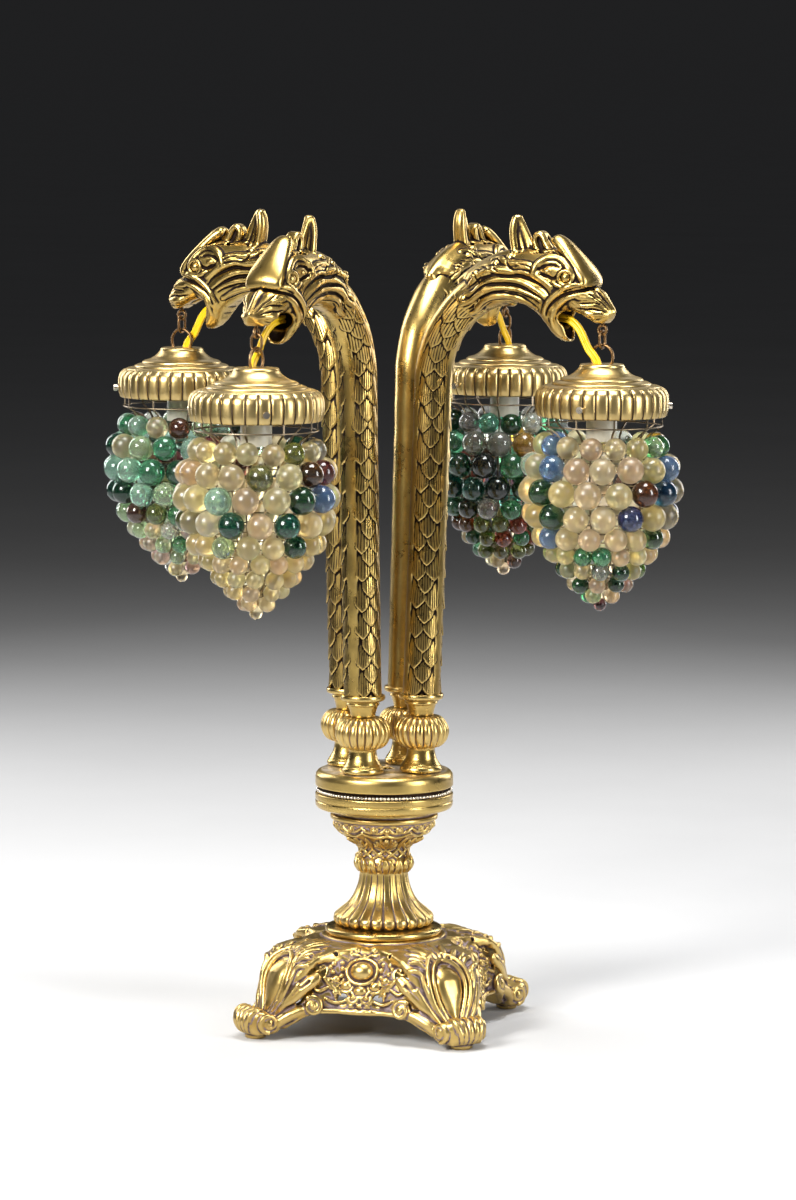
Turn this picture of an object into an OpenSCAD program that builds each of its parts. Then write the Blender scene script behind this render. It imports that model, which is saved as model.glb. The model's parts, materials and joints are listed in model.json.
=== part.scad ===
// Four-arm table lamp: a pierced cast base, a fluted stem and a round drum
// carry four scaled tube arms that end in horned dragon heads. A bead-covered
// wire shade hangs on a link and a ring from each upper jaw.
// Millimetres, +Z up, resting face at Z 0, arms along +X, +Y, -X and -Y.

/* [Base] */
// turn of the feet from the arms, degrees
foot_turn = 62; // [45:1:80]
// radius of the moulded ring on the base casting
ring_r = 44.5; // [42:0.5:48]

/* [Stem] */
// rim radius of the fluted trumpet
trumpet_r = 38.5; // [35:0.5:40]
// flutes on the trumpet
flutes = 24; // [16:1:28]
// outside radius of the drum
drum_r = 52.3; // [50:0.1:55]
// beads in the drum's band
band_beads = 110; // [80:2:112]

/* [Arms] */
// distance of the arm sockets from the middle
socket_u = 32; // [30:1:36]
// outside radius of an arm tube
arm_r = 14; // [12:0.5:15]
// wall of an arm tube
arm_wall = 2.5; // [2:0.5:4]
// radius of the bend at the top of an arm
bend_r = 75; // [70:1:90]
// lobes round an arm knop
knop_lobes = 20; // [16:1:24]

/* [Suspension] */
// distance of the hanging shades from the middle
hang_u = 183; // [175:1:190]
// height of the bottom wire of the jaw eye
eye_z = 530; // [525:1:535]
// wire radius of the links
link_w = 1.0; // [0.8:0.1:1.2]
// wire radius of the cap rings
ring_w = 1.1; // [0.9:0.1:1.3]

/* [Shades] */
// lobes round a gallery
gadroons = 32; // [24:1:36]
// outside radius of a gallery
gallery_r = 49.3; // [47:0.1:51]
// upright wires in a cage, in pairs
cage_pairs = 5; // [4:1:8]
// wire radius of a cage
cage_w = 0.6; // [0.5:0.1:0.9]

/* [Hidden] */
$fn = 48;
// arm centreline: leaning tube, bend, short neck
lean = 2.12;
arm_z0 = 250;
arm_z1 = 493;
arm_u1 = socket_u + 9;
arm_u0 = arm_u1 - (arm_z1 - arm_z0) * tan(lean);
arm_len = (arm_z1 - arm_z0) / cos(lean);
neck_dir = 18;
bend_a = 90 - lean - neck_dir;
// end of the bend
bend_u = arm_u1 + bend_r * (cos(lean) - sin(neck_dir));
bend_z = arm_z1 + bend_r * (cos(neck_dir) - sin(lean));
// link: wire centres of its top and bottom arcs
link_top = eye_z + 2.4;
link_bot = link_top - 12.4;
link_half = 4.3;
// cap ring
hoop_r = 8.9;
hoop_z = link_bot + link_w + ring_w + 0.2 - hoop_r;
// bead rows: radius of the row, height, bead radius, count, tilt of the surface
rows = [
  [42.5, 449.0, 8.7, 15, 12],
  [49.5, 433.5, 10.0, 15, 8],
  [51.5, 416.0, 10.4, 15, 0],
  [49.0, 398.5, 10.0, 15, -10],
  [43.0, 382.5, 8.8, 15, -24],
  [35.5, 369.5, 7.3, 15, -34],
  [27.0, 358.0, 6.9, 12, -38],
  [18.5, 347.5, 6.5, 8, -42],
  [9.5, 338.5, 6.1, 4, -48]
];
// middle of the row's hoop and of the upright wires inside it
function hoop_at(k, d) = [
  rows[k][0] - (rows[k][2] + d) * cos(rows[k][4]),
  rows[k][1] - (rows[k][2] + d) * sin(rows[k][4])
];
cage_d = cage_w + 0.08;
// the flex's route from the throat to the lampholder, in the arm's own frame
flex_path = [
  [145, 0, 541.5], [151, -0.5, 541], [157, -1.3, 539.5], [162.5, -2.2, 536], [167, -3, 531],
  [170.5, -3.6, 525], [174, -4, 519], [178, -4.2, 514.5], [181, -4.2, 510], [182, -4.2, 504],
  [182, -4.2, 495]
];
flex_w = 6.4;
flex_t = 3.2;

module four() { for (i = [0:3]) rotate([0, 0, 90 * i]) children(); }
module arm_side(i) { rotate([0, 0, 90 * (i - 1)]) children(); }
// a side profile in (distance, height), w wide across the arm
module side_cut(w) { translate([0, w / 2, 0]) rotate([90, 0, 0]) linear_extrude(height = w) children(); }
// a front outline in (sideways, height), from a0 to a1 along the arm
module front_cut(a0, a1) { translate([a0, 0, 0]) rotate([90, 0, 90]) linear_extrude(height = a1 - a0) children(); }
module lobes(r, n, deep) {
  lr = r * sin(180 / n) * 1.02;
  circle(r = r - deep, $fn = 96);
  for (i = [0:n - 1]) rotate(360 / n * i) translate([r - lr, 0]) circle(r = lr, $fn = 24);
}

// ---- base ----
module leg_side() {
  difference() {
    union() {
      polygon([[40, 66], [60, 66.5], [77, 63.5], [87, 58], [93, 49], [96.5, 38], [99, 27], [103, 18],
               [104, 6], [97, 9], [93, 22], [91, 36], [87, 45], [81, 53], [72, 58], [58, 60.5], [40, 60]]);
      translate([114, 14.5]) circle(r = 12);
      translate([103, 3]) square([17, 14]);
    }
    translate([100, -3]) square([40, 3]);
  }
}
module leg_front() {
  polygon([[-31, 70], [-34, 52], [-33, 34], [-30, 25], [-24, 21], [-17, 12], [-13, 3], [13, 3],
           [17, 12], [24, 21], [30, 25], [33, 34], [34, 52], [31, 70]]);
}
// plan of a leg: broad shoulder, rounded toe
module leg_plan() {
  polygon([[30, -34], [74, -34], [86, -29], [95, -23], [103, -19], [112, -18], [119, -15], [124, -10], [126.5, -4],
           [126.5, 4], [124, 10], [119, 15], [112, 18], [103, 19], [95, 23], [86, 29], [74, 34], [30, 34]]);
}
module leg() {
  intersection() {
    side_cut(80) leg_side();
    front_cut(38, 130) leg_front();
    linear_extrude(height = 80) leg_plan();
  }
  // block under the toe
  translate([104, -8, 0]) cube([15, 16, 6]);
  // raised ribs round the shield
  intersection() {
    side_cut(40) polygon([[60, 64], [77, 62], [86, 56], [92, 48], [95, 38], [97.5, 27], [101, 20],
                          [103, 21], [101, 28], [98.6, 38.6], [95, 50], [88.5, 60], [78, 65.5], [60, 68.5]]);
    front_cut(60, 110) difference() {
      union() { translate([0, 43]) circle(r = 17.5); polygon([[-17, 39], [17, 39], [9, 15], [-9, 15]]); }
      union() { translate([0, 43]) circle(r = 12.5); polygon([[-12.3, 41], [12.3, 41], [6.5, 18], [-6.5, 18]]); }
    }
  }
  // domed shield
  intersection() {
    side_cut(30) polygon([[80, 56], [86, 53], [92, 44], [95.5, 34], [98.2, 24], [101, 20], [102, 24],
                          [100.5, 35], [97, 45], [91, 54], [84, 60]]);
    front_cut(60, 110) union() { translate([0, 43]) circle(r = 10.5); polygon([[-10.3, 41], [10.3, 41], [5.5, 20], [-5.5, 20]]); }
  }
  // toe volutes
  for (s = [-1, 1]) translate([111.5, s * 15.4, 15.5]) rotate([90, 0, 0]) {
    rotate_extrude() translate([7, 0]) circle(r = 2, $fn = 20);
    sphere(r = 3.2, $fn = 24);
  }
  // plume above the shield
  for (a = [-30, -15, 0, 15, 30]) translate([76, 0, 64.2]) rotate([0, 0, a]) translate([-26, 0, 1.2])
    rotate([0, 90, 0]) cylinder(r = 2.6, h = 24, $fn = 20);
}
module side_panel() {
  // boss in a ring, with two scrolls above and three petals below
  translate([68, 0, 51]) rotate([0, 58, 0]) {
    translate([0, 0, -1]) sphere(r = 7.5);
    rotate_extrude() translate([9.5, 0]) circle(r = 1.9, $fn = 20);
    for (s = [-1, 1]) translate([-13.5, s * 6.5, -2.2]) {
      rotate_extrude() translate([4, 0]) circle(r = 1.6, $fn = 16);
      sphere(r = 2.2, $fn = 20);
    }
    for (s = [-1, 0, 1]) translate([14, s * 9, -0.5]) sphere(r = 4.2, $fn = 24);
  }
  // corner volutes at the ends of the arch
  for (s = [-1, 1]) translate([71.5, s * 31.5, 25.5]) rotate([0, 90, s * 24]) {
    rotate_extrude() translate([5.6, 0]) circle(r = 2, $fn = 20);
    cylinder(r = 4, h = 3.4, center = true);
    translate([0, 0, 1]) sphere(r = 2.8, $fn = 20);
  }
}
module base_casting() color([0.72, 0.56, 0.2]) {
  difference() {
    union() {
      rotate_extrude() polygon([[5.2, 62], [52, 62], [57.5, 57.5], [63.5, 49.5], [68.5, 40], [72, 31], [74, 22], [75, 20],
                                [78, 20], [78, 24], [76, 32], [72.5, 42], [67.5, 52], [61, 60], [54, 65.5], [46, 67], [46, 69], [5.2, 69]]);
      for (i = [0:3]) rotate([0, 0, foot_turn + 90 * i]) leg();
      for (i = [0:3]) rotate([0, 0, foot_turn + 45 + 90 * i]) side_panel();
    }
    // pierced openings
    for (i = [0:3]) rotate([0, 0, foot_turn + 45 + 90 * i]) {
      for (s = [-1, 1]) {
        translate([40, s * 27.5, 51]) rotate([0, 90, 0]) cylinder(r = 3.6, h = 50, $fn = 24);
        translate([40, s * 13.5, 32.5]) rotate([0, 90, 0]) cylinder(r = 3.8, h = 50, $fn = 24);
      }
    }
    // hollow inside
    rotate_extrude() polygon([[0, -1], [72, -1], [72, 18], [69.5, 31], [65.5, 41], [59.5, 50], [53, 56.5], [46, 60.5], [44, 61.9], [0, 61.9]]);
    for (i = [0:3]) rotate([0, 0, foot_turn + 90 * i]) intersection() {
      side_cut(50) polygon([[40, -1], [93, -1], [92.5, 22], [90.5, 36], [86.5, 45], [80.5, 52.5], [71, 57.5], [40, 60]]);
      front_cut(38, 96) polygon([[-25, -1], [-25, 22], [-28, 34], [-28, 50], [-24, 62], [24, 62], [28, 50], [28, 34], [25, 22], [25, -1]]);
      // keeps a wall inside the leg's narrowing plan
      translate([0, 0, -1]) linear_extrude(height = 80)
        polygon([[30, -30], [72, -30], [83.5, -25], [92, -19], [100, -15], [100, 15], [92, 19], [83.5, 25], [72, 30], [30, 30]]);
    }
  }
}
module base_ring() color([0.66, 0.5, 0.2])
  difference() {
    rotate_extrude() union() {
      translate([5.4, 69.1]) square([35, 7]);
      translate([ring_r - 3.1, 72.3]) circle(r = 3.1);
      translate([38, 69.2]) square([ring_r - 41.1, 6.2]);
    }
    translate([0, 0, 68]) cylinder(r = 30, h = 5.5);
  }

// ---- stem ----
module trumpet_2d() {
  polygon([[5.2, 76.2], [32, 76.2], [35.5, 77], [trumpet_r - 0.6, 79.5], [trumpet_r, 81.5], [trumpet_r - 1, 84],
           [33, 87.6], [28, 91.6], [24, 96.6], [21, 102.6], [19, 109], [18.2, 118], [5.2, 118]]);
}
module trumpet_stem() color([0.74, 0.58, 0.22])
  difference() {
    rotate_extrude() trumpet_2d();
    // bore that clears the tie tube, wide below
    translate([0, 0, 75]) rotate_extrude() polygon([[0, 0], [33, 0], [30, 5], [22, 14], [16.4, 26], [13.5, 38], [0, 38]]);
    translate([0, 0, 110]) cylinder(r = 5.2, h = 10);
    // dark grooves between the flutes
    for (i = [0:flutes - 1]) rotate([0, 0, 360 / flutes * i])
      translate([0, 0.6, 0]) rotate([90, 0, 0]) linear_extrude(height = 1.2)
        polygon([[37.6, 76], [36.6, 81.6], [35.6, 83.6], [31.8, 86.3], [26.8, 90.6], [22.8, 95.8], [19.9, 102], [18.1, 109],
                 [17.4, 117], [22, 117], [30, 105], [45, 90], [45, 76]]);
  }
module stem_bowl() color([0.76, 0.6, 0.24])
  difference() {
    union() {
      rotate_extrude() polygon([[5.2, 118.1], [17, 118.1], [19.4, 119.6], [20.2, 122], [19.8, 126], [18.6, 129], [18, 132],
                                [19, 136], [22, 140.4], [27, 143.6], [33, 147.4], [37, 151.8], [38.6, 156], [38.6, 157.2],
                                [41, 157.8], [41, 161], [38.4, 161.8], [38.4, 165.4], [5.2, 165.4]]);
      // leaf tips that curl out of the collar
      for (i = [0:5]) rotate([0, 0, 60 * i + 4]) {
        translate([19.2, 0, 124.5]) sphere(r = 2.6, $fn = 24);
        translate([26.4, 0, 141.4]) sphere(r = 3.4, $fn = 24);
      }
      // berries under the rim
      for (i = [0:11]) rotate([0, 0, 30 * i]) translate([36.4, 0, 152.6]) sphere(r = 1.9, $fn = 20);
    }
    translate([0, 0, 122]) rotate_extrude() polygon([[0, 0], [9, 0], [13, 16], [30, 30], [33, 36], [33, 38], [0, 38]]);
    translate([0, 0, 160]) cylinder(r = 5.2, h = 10);
    translate([0, 0, 110]) cylinder(r = 5.2, h = 20);
  }
module drum_body() color([0.74, 0.58, 0.22])
  rotate_extrude() difference() {
    union() {
      translate([5.3, 165.5]) square([43, 5]);
      translate([drum_r - 3.5, 169]) circle(r = 3.5);
      translate([44, 168.9]) square([drum_r - 44, 8.9]);
      translate([44, 165.5]) square([drum_r - 47.5, 6]);
      translate([44, 177]) square([3.6, 10.9]);
    }
    translate([5, 170.5]) square([39.1, 30]);
  }
module bead_band() color([0.72, 0.68, 0.6])
  for (i = [0:band_beads - 1]) rotate([0, 0, 360 / band_beads * i])
    translate([50.1, 0, 179.4]) sphere(r = 1.4, $fn = 20);
module drum_cover() color([0.74, 0.58, 0.22])
  difference() {
    rotate_extrude() union() {
      translate([0, 188]) square([48, 7.6]);
      translate([drum_r - 5.2, 190.4]) circle(r = 5.2);
      translate([0, 188]) square([drum_r, 2.5]);
      translate([47.8, 182.6]) square([drum_r - 47.8, 7]);
    }
    translate([0, 0, 187.6]) cylinder(r = 44, h = 4.2);
    // groove that drops over the drum's wall
    translate([0, 0, 180]) cylinder(r = 47.7, h = 7.95);
    four() translate([socket_u, 0, 180]) cylinder(r = 6.1, h = 30);
  }
module tie_tube() color([0.6, 0.5, 0.25])
  difference() {
    translate([0, 0, 50]) cylinder(r = 5, h = 130);
    translate([0, 0, 49]) cylinder(r = 3.5, h = 132);
  }
module hex_nut(z) {
  translate([0, 0, z]) difference() {
    cylinder(r = 9.8, h = 6, $fn = 6);
    translate([0, 0, -1]) cylinder(r = 5.05, h = 8);
  }
}
module tie_nuts() color([0.62, 0.5, 0.24]) { hex_nut(55.9); hex_nut(170.6); }

// ---- arms ----
module arm_feet() color([0.76, 0.6, 0.24])
  four() translate([socket_u, 0, 0]) difference() {
    rotate_extrude() union() {
      polygon([[6.1, 195.7], [16, 195.7], [15.4, 200.4], [13.4, 203], [11.6, 206], [10.6, 210], [10.4, 214.6], [6.1, 214.6]]);
      translate([14, 198]) circle(r = 2.2);
    }
  }
module arm_knops() color([0.72, 0.56, 0.22])
  four() translate([socket_u, 0, 0]) difference() {
    intersection() {
      translate([0, 0, 214.7]) linear_extrude(height = 24) lobes(21.2, knop_lobes, 3);
      rotate_extrude() polygon([[0, 214.7], [12.5, 214.7], [16.5, 217.4], [19.6, 221.6], [21.2, 226.6], [21, 231], [19.4, 235.4],
                                [16.4, 238.2], [12, 238.4], [0, 238.4]]);
    }
    translate([0, 0, 210]) cylinder(r = 6.1, h = 40);
  }
module arm_cups() color([0.78, 0.62, 0.26])
  four() translate([socket_u, 0, 0]) difference() {
    union() {
      translate([0, 0, 184]) cylinder(r = 6, h = 57);
      rotate_extrude() polygon([[0, 238.5], [9.2, 238.5], [9.7, 242], [10.8, 245.6], [11.4, 247.2], [11.9, 247.2], [12.6, 248.4],
                                [12, 249.6], [14.6, 250.6], [16.6, 251.6], [16.8, 253.6], [16.4, 255.4], [0, 255.4]]);
    }
    // seat of the arm tube, leaning with it
    translate([0, 0, arm_z0]) rotate([0, lean, 0]) cylinder(r = arm_r + 0.15, h = 20);
    translate([0, 0, 183]) cylinder(r = 4, h = 80);
  }
// the arm tube's inside or outside, as one solid
module arm_run(r) {
  translate([arm_u0, 0, arm_z0]) rotate([0, lean, 0]) cylinder(r = r, h = arm_len);
  translate([arm_u1, 0, arm_z1]) rotate([0, lean, 0]) translate([bend_r, 0, 0]) rotate([90, 0, 0])
    rotate([0, 0, 180 - bend_a]) rotate_extrude(angle = bend_a) translate([bend_r, 0]) circle(r = r);
}
module arm() color([0.74, 0.57, 0.21])
  difference() {
    union() {
      arm_run(arm_r - 1);
      // inside the wall, where the straight run meets the bend
      translate([arm_u1, 0, arm_z1]) rotate([0, lean, 0]) translate([0, 0, -3]) cylinder(r = arm_r - 1.4, h = 6);
      // raised strips along the spine and the belly
      intersection() {
        arm_run(arm_r);
        side_cut(15) polygon([[0, arm_z0 - 5], [0, 600], [120, 600], [120, arm_z0 - 5]]);
      }
      // rows of raised scales on the flanks
      for (k = [0:15]) translate([arm_u0 + (12 + k * 14.4) * tan(lean), 0, arm_z0 + 12 + k * 14.4])
        for (s = [-1, 1]) translate([0, s * 7.2, 0]) sphere(r = 7, $fn = 24);
    }
    arm_run(arm_r - arm_wall);
    translate([0, 0, arm_z0 - 20]) cylinder(r = 80, h = 20.6);
  }

// ---- heads ----
module head_side() {
  polygon([[bend_u - 1, 545.5], [bend_u + 6, 547.8], [bend_u + 14, 550.6], [113, 551.6], [124, 548.5], [134, 542.5], [140, 537], [143, 531],
           [148, 526.5], [155, 523.5], [158.5, 524], [157.5, 529], [155.5, 536], [153.5, 541],
           [157, 545], [162, 546.5], [170, 544.2], [176, 541], [182, 538.2], [187, 538], [191, 541.5], [193.5, 545.6],
           [190.5, 550], [185, 556], [179, 561], [178.5, 566], [176, 571], [166, 584], [148, 591.4], [132, 591],
           [118, 590.5], [104, 587], [92, 582.5], [bend_u - 5, 577]]);
}
module head_plan() {
  polygon([[84, -15.5], [100, -15.6], [120, -16], [140, -17], [158, -17], [168, -16], [176, -14.5], [185, -11.5], [193.5, -5.5],
           [193.5, 5.5], [185, 11.5], [176, 14.5], [168, 16], [158, 17], [140, 17], [120, 16], [100, 15.6], [84, 15.5]]);
}
module head() color([0.75, 0.59, 0.23])
  difference() {
    union() {
      intersection() {
        side_cut(40) head_side();
        translate([0, 0, 500]) linear_extrude(height = 120) head_plan();
        // rounded crown and throat
        translate([80, 0, 566]) rotate([0, 98, 0]) cylinder(r = 33, h = 130);
      }
      // brow bar
      side_cut(16) polygon([[142, 596.5], [147, 602], [151.5, 600], [166, 585], [177.5, 573], [179, 567], [176.5, 562.5], [170, 563],
                            [167, 570], [155, 584]]);
      // tall fin and short fin
      side_cut(10) polygon([[110, 586], [106.5, 601], [106, 612], [109.5, 616], [113.5, 615.5], [117, 608], [121, 600], [127, 588]]);
      side_cut(12) polygon([[122, 588], [125, 599.6], [129, 604.4], [134, 604.4], [138, 600], [141, 593], [141, 588]]);
      for (s = [-1, 1]) {
        // lids round the eyes
        translate([162, s * 15.6, 571]) rotate([90, 0, 0]) rotate_extrude() translate([5.4, 0]) circle(r = 1.5, $fn = 16);
        translate([162, s * 14.2, 571]) sphere(r = 4.3, $fn = 24);
        // curl behind the eye
        translate([145, s * 15.6, 577]) rotate([90, 0, 0]) rotate_extrude() translate([4.6, 0]) circle(r = 1.7, $fn = 16);
        // lip ridge from the brow round to the lower jaw
        translate([172, s * 14.8, 531]) rotate([90, 0, 0]) rotate([0, 0, 84]) rotate_extrude(angle = 92)
          translate([30, 0]) circle(r = 1.9, $fn = 16);
        // locks of the mane
        for (m = [[90, 68, 40], [82, 66, 38], [74, 74, 28]])
          translate([112, s * 15, 478]) rotate([90, 0, 0]) rotate([0, 0, m[1]]) rotate_extrude(angle = m[2])
            translate([m[0], 0]) circle(r = 2.1, $fn = 16);
      }
    }
    // seat of the arm tube and the wire way through to the mouth
    arm_seat();
    translate([90, 0, 561.5]) rotate([0, 110, 0]) translate([0, 0, -6]) cylinder(r = 5, h = 66);
    translate([150.5, 0, 543]) sphere(r = 9.5);
    // hole of the eye's shank
    translate([hang_u, 0, 530]) cylinder(r = 1.25, h = 19, $fn = 24);
  }
module arm_seat() {
  translate([arm_u1, 0, arm_z1]) rotate([0, lean, 0]) translate([bend_r, 0, 0]) rotate([90, 0, 0])
    rotate([0, 0, 180 - bend_a - 1]) rotate_extrude(angle = bend_a + 0.2) translate([bend_r, 0]) circle(r = arm_r + 0.15);
}

// ---- suspension ----
module jaw_eyes() color([0.5, 0.36, 0.2])
  four() translate([hang_u, 0, eye_z + 3.2]) {
    rotate([90, 0, 0]) rotate_extrude() translate([3.2, 0]) circle(r = 1.2, $fn = 24);
    translate([0, 0, 3]) cylinder(r = 1.2, h = 11, $fn = 24);
  }
module link() color([0.5, 0.36, 0.2])
  translate([hang_u, 0, 0]) rotate([90, 0, 90]) {
    straight = link_top - link_bot - 2 * link_half;
    mid = (link_top + link_bot) / 2;
    for (s = [0, 1]) translate([0, mid + (s == 0 ? 1 : -1) * straight / 2]) rotate([0, 0, 180 * s])
      rotate_extrude(angle = 180) translate([link_half, 0]) circle(r = link_w, $fn = 24);
    for (s = [-1, 1]) translate([s * link_half, mid + straight / 2 + 0.01, 0]) rotate([90, 0, 0])
      cylinder(r = link_w, h = straight + 0.02, $fn = 24);
  }
module cap_ring() color([0.5, 0.36, 0.2])
  translate([hang_u, 0, hoop_z]) rotate([90, 0, 0]) rotate_extrude() translate([hoop_r, 0]) circle(r = ring_w, $fn = 24);

// ---- shades ----
module cap() color([0.78, 0.66, 0.34])
  translate([hang_u, 0, 0]) difference() {
    // spun dome with two steps and a flat plate inside that carries the lampholder
    rotate_extrude() {
      polygon([[0, 508.4], [15.6, 508.4], [16.6, 507.4], [16.6, 506.4], [18, 504.4], [20.6, 501.8], [24, 499.8],
                              [28.6, 498.6], [30.4, 497.6], [30.4, 496.4], [34.6, 495.4], [36.2, 494.6], [36.2, 493.2], [43, 492.3],
                              [43, 490.6], [34, 491.6], [28.6, 494.4], [23, 497.6], [19, 500.5], [0, 500.5], [0, 501.9], [17, 501.9], [15.4, 504], [14.4, 506.25], [0, 506.25]]);
    }
    for (s = [-1, 1]) translate([s * 6, 0, 505]) cylinder(r = 2.9, h = 6, $fn = 24);
    translate([-1.2, -4.6, 499]) cylinder(r = 3.85, h = 12, $fn = 24);
  }
module gallery() color([0.78, 0.64, 0.28])
  translate([hang_u, 0, 0]) difference() {
    intersection() {
      translate([0, 0, 473.5]) linear_extrude(height = 20) lobes(gallery_r, gadroons, 2.2);
      rotate_extrude() polygon([[30, 473.5], [47, 473.5], [48.8, 476.5], [49.6, 481], [49.2, 485.5], [47.6, 489.2], [44.8, 491.6],
                                [43.1, 492.4], [43.1, 490.5], [34, 490.5], [30, 490.5]]);
    }
    translate([0, 0, 470]) rotate_extrude() polygon([[0, 0], [45.4, 0], [45.4, 15.6], [43, 18.8], [41.4, 19.2], [41.4, 24], [0, 24]]);
    // tapped holes of the set screws
    for (a = [40, 160, 280]) rotate([0, 0, a]) translate([40, 0, 477.6]) rotate([0, 90, 0]) cylinder(r = 1.55, h = 15, $fn = 20);
  }
module cap_screws() color([0.62, 0.54, 0.38])
  translate([hang_u, 0, 0]) for (a = [40, 160, 280]) rotate([0, 0, a]) {
    translate([43.2, 0, 477.6]) rotate([0, 90, 0]) cylinder(r = 1.5, h = 7.6, $fn = 20);
    translate([50, 0, 477.6]) rotate([0, 90, 0]) cylinder(r = 2.5, h = 2.6, $fn = 24);
  }
module holder() color([0.92, 0.9, 0.84])
  translate([hang_u, 0, 0]) difference() {
    rotate_extrude() polygon([[0, 500.4], [8, 500.4], [12.4, 496], [12.4, 477], [13.6, 477], [13.6, 474], [11.4, 474],
                              [11.4, 452], [0, 452]]);
    translate([0, 0, 451]) cylinder(r = 7.6, h = 36);
    translate([-1.2, -4.6, 484]) cylinder(r = 3.6, h = 18, $fn = 24);
  }
// one upright wire's outline: down from the gallery and under the beads, to the middle
cage_pts = concat([[44.6, 480.3], [44.6, 463], [37.2, 457.9], [33.4, 453.2]], [for (k = [0:8]) hoop_at(k, cage_d + 1.15 * cage_w)]);
cage_n = len(cage_pts) - 1;
function side_of(a, b) = let (d = b - a) [-d[1], d[0]] / norm(d);
function cage_edge(k, t) =
  k == 0 ? cage_pts[0] + t * side_of(cage_pts[0], cage_pts[1]) :
  k == cage_n ? cage_pts[k] + t * side_of(cage_pts[k - 1], cage_pts[k]) :
  let (m = side_of(cage_pts[k - 1], cage_pts[k]) + side_of(cage_pts[k], cage_pts[k + 1]))
  cage_pts[k] + 2 * t * m / (m * m);
module cage() color([0.62, 0.54, 0.4])
  translate([hang_u, 0, 0]) {
    for (p = [[44.6, 479.8], [44.6, 470.5], [44.6, 463.4]]) rotate_extrude() translate(p) circle(r = cage_w, $fn = 16);
    // flat hoops behind the bead rows
    for (k = [0:7]) rotate_extrude() translate(hoop_at(k, cage_d)) square(1.5 * cage_w, center = true);
    for (i = [0:cage_pairs * 2 - 1]) rotate([0, 0, 180 / cage_pairs * i + 22]) translate([0, cage_w, 0]) rotate([90, 0, 0])
      linear_extrude(height = 2 * cage_w)
        polygon(concat([for (k = [0:cage_n]) cage_edge(k, 0.8 * cage_w)], [for (k = [cage_n:-1:0]) cage_edge(k, -0.8 * cage_w)]));
    // hub and stalk of the lowest bead
    translate([0, 0, 342.6]) cylinder(r = 5.8, h = 2.4);
    translate([0, 0, 336.9]) cylinder(r = 0.9 * cage_w, h = 6, $fn = 16);
  }
module beads() color([0.86, 0.8, 0.6])
  translate([hang_u, 0, 0]) {
    for (k = [0:8]) for (i = [0:rows[k][3] - 1])
      rotate([0, 0, 360 / rows[k][3] * (i + (k % 2) / 2)]) translate([rows[k][0], 0, rows[k][1]]) sphere(r = rows[k][2], $fn = 32);
    translate([0, 0, 331.6]) sphere(r = 5.2, $fn = 32);
  }

// ---- flex: a flat twin cord swept along flex_path ----
function unit(a) = a / norm(a);
function flex_ring(i) =
  let (n = len(flex_path) - 1,
       t = unit(flex_path[min(i + 1, n)] - flex_path[max(i - 1, 0)]),
       w = unit(cross(t, [0, 1, 0])), h = cross(w, t))
  [for (a = [0:30:330])
    let (x = (cos(a) >= 0 ? 1 : -1) * (flex_w - flex_t) / 2 + flex_t / 2 * cos(a), y = flex_t / 2 * sin(a))
    flex_path[i] + x * w + y * h];
module flex() color([0.95, 0.82, 0.1]) {
  m = 12;
  n = len(flex_path);
  polyhedron(
    points = [for (i = [0:n - 1]) each flex_ring(i)],
    faces = concat(
      [[for (j = [0:m - 1]) j]],
      [for (i = [0:n - 2]) for (j = [0:m - 1]) [i * m + j, (i + 1) * m + j, (i + 1) * m + (j + 1) % m, i * m + (j + 1) % m]],
      [[for (j = [m - 1:-1:0]) (n - 1) * m + j]]),
    convexity = 6);
}

base_casting();
base_ring();
trumpet_stem();
stem_bowl();
drum_body();
bead_band();
drum_cover();
tie_tube();
tie_nuts();
arm_feet();
arm_knops();
arm_cups();
jaw_eyes();
for (i = [1:4]) {
  arm_side(i) arm();
  arm_side(i) head();
  arm_side(i) link();
  arm_side(i) flex();
  arm_side(i) cap();
  arm_side(i) gallery();
  arm_side(i) cap_ring();
  arm_side(i) holder();
  arm_side(i) cage();
  arm_side(i) beads();
  arm_side(i) cap_screws();
}
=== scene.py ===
import json
import math
import bpy
import numpy as np
from mathutils import Matrix, Vector


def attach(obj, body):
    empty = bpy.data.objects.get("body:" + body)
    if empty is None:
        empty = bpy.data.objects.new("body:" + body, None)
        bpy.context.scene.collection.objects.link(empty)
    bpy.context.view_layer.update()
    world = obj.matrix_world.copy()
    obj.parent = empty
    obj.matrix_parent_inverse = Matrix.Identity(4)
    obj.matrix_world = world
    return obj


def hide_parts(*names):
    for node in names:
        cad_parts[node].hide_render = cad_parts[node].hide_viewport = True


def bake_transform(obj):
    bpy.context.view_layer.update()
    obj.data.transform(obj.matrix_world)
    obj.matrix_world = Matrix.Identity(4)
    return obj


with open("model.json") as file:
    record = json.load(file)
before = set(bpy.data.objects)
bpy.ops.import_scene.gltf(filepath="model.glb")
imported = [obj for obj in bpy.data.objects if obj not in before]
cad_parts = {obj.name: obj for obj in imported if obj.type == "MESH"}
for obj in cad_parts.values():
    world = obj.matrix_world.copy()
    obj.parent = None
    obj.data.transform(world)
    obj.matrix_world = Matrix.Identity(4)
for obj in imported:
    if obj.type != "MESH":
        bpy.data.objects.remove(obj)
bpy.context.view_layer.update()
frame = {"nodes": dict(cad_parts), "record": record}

MM = 0.001
SCENE = bpy.context.scene

# ------------------------------------------------------------------ camera
TURN = math.radians(30.5)
R30 = Matrix.Rotation(TURN, 4, "Z")


def cam_frame(x, y, z):
    return (R30 @ Vector((x, y, z)))[:]


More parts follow.
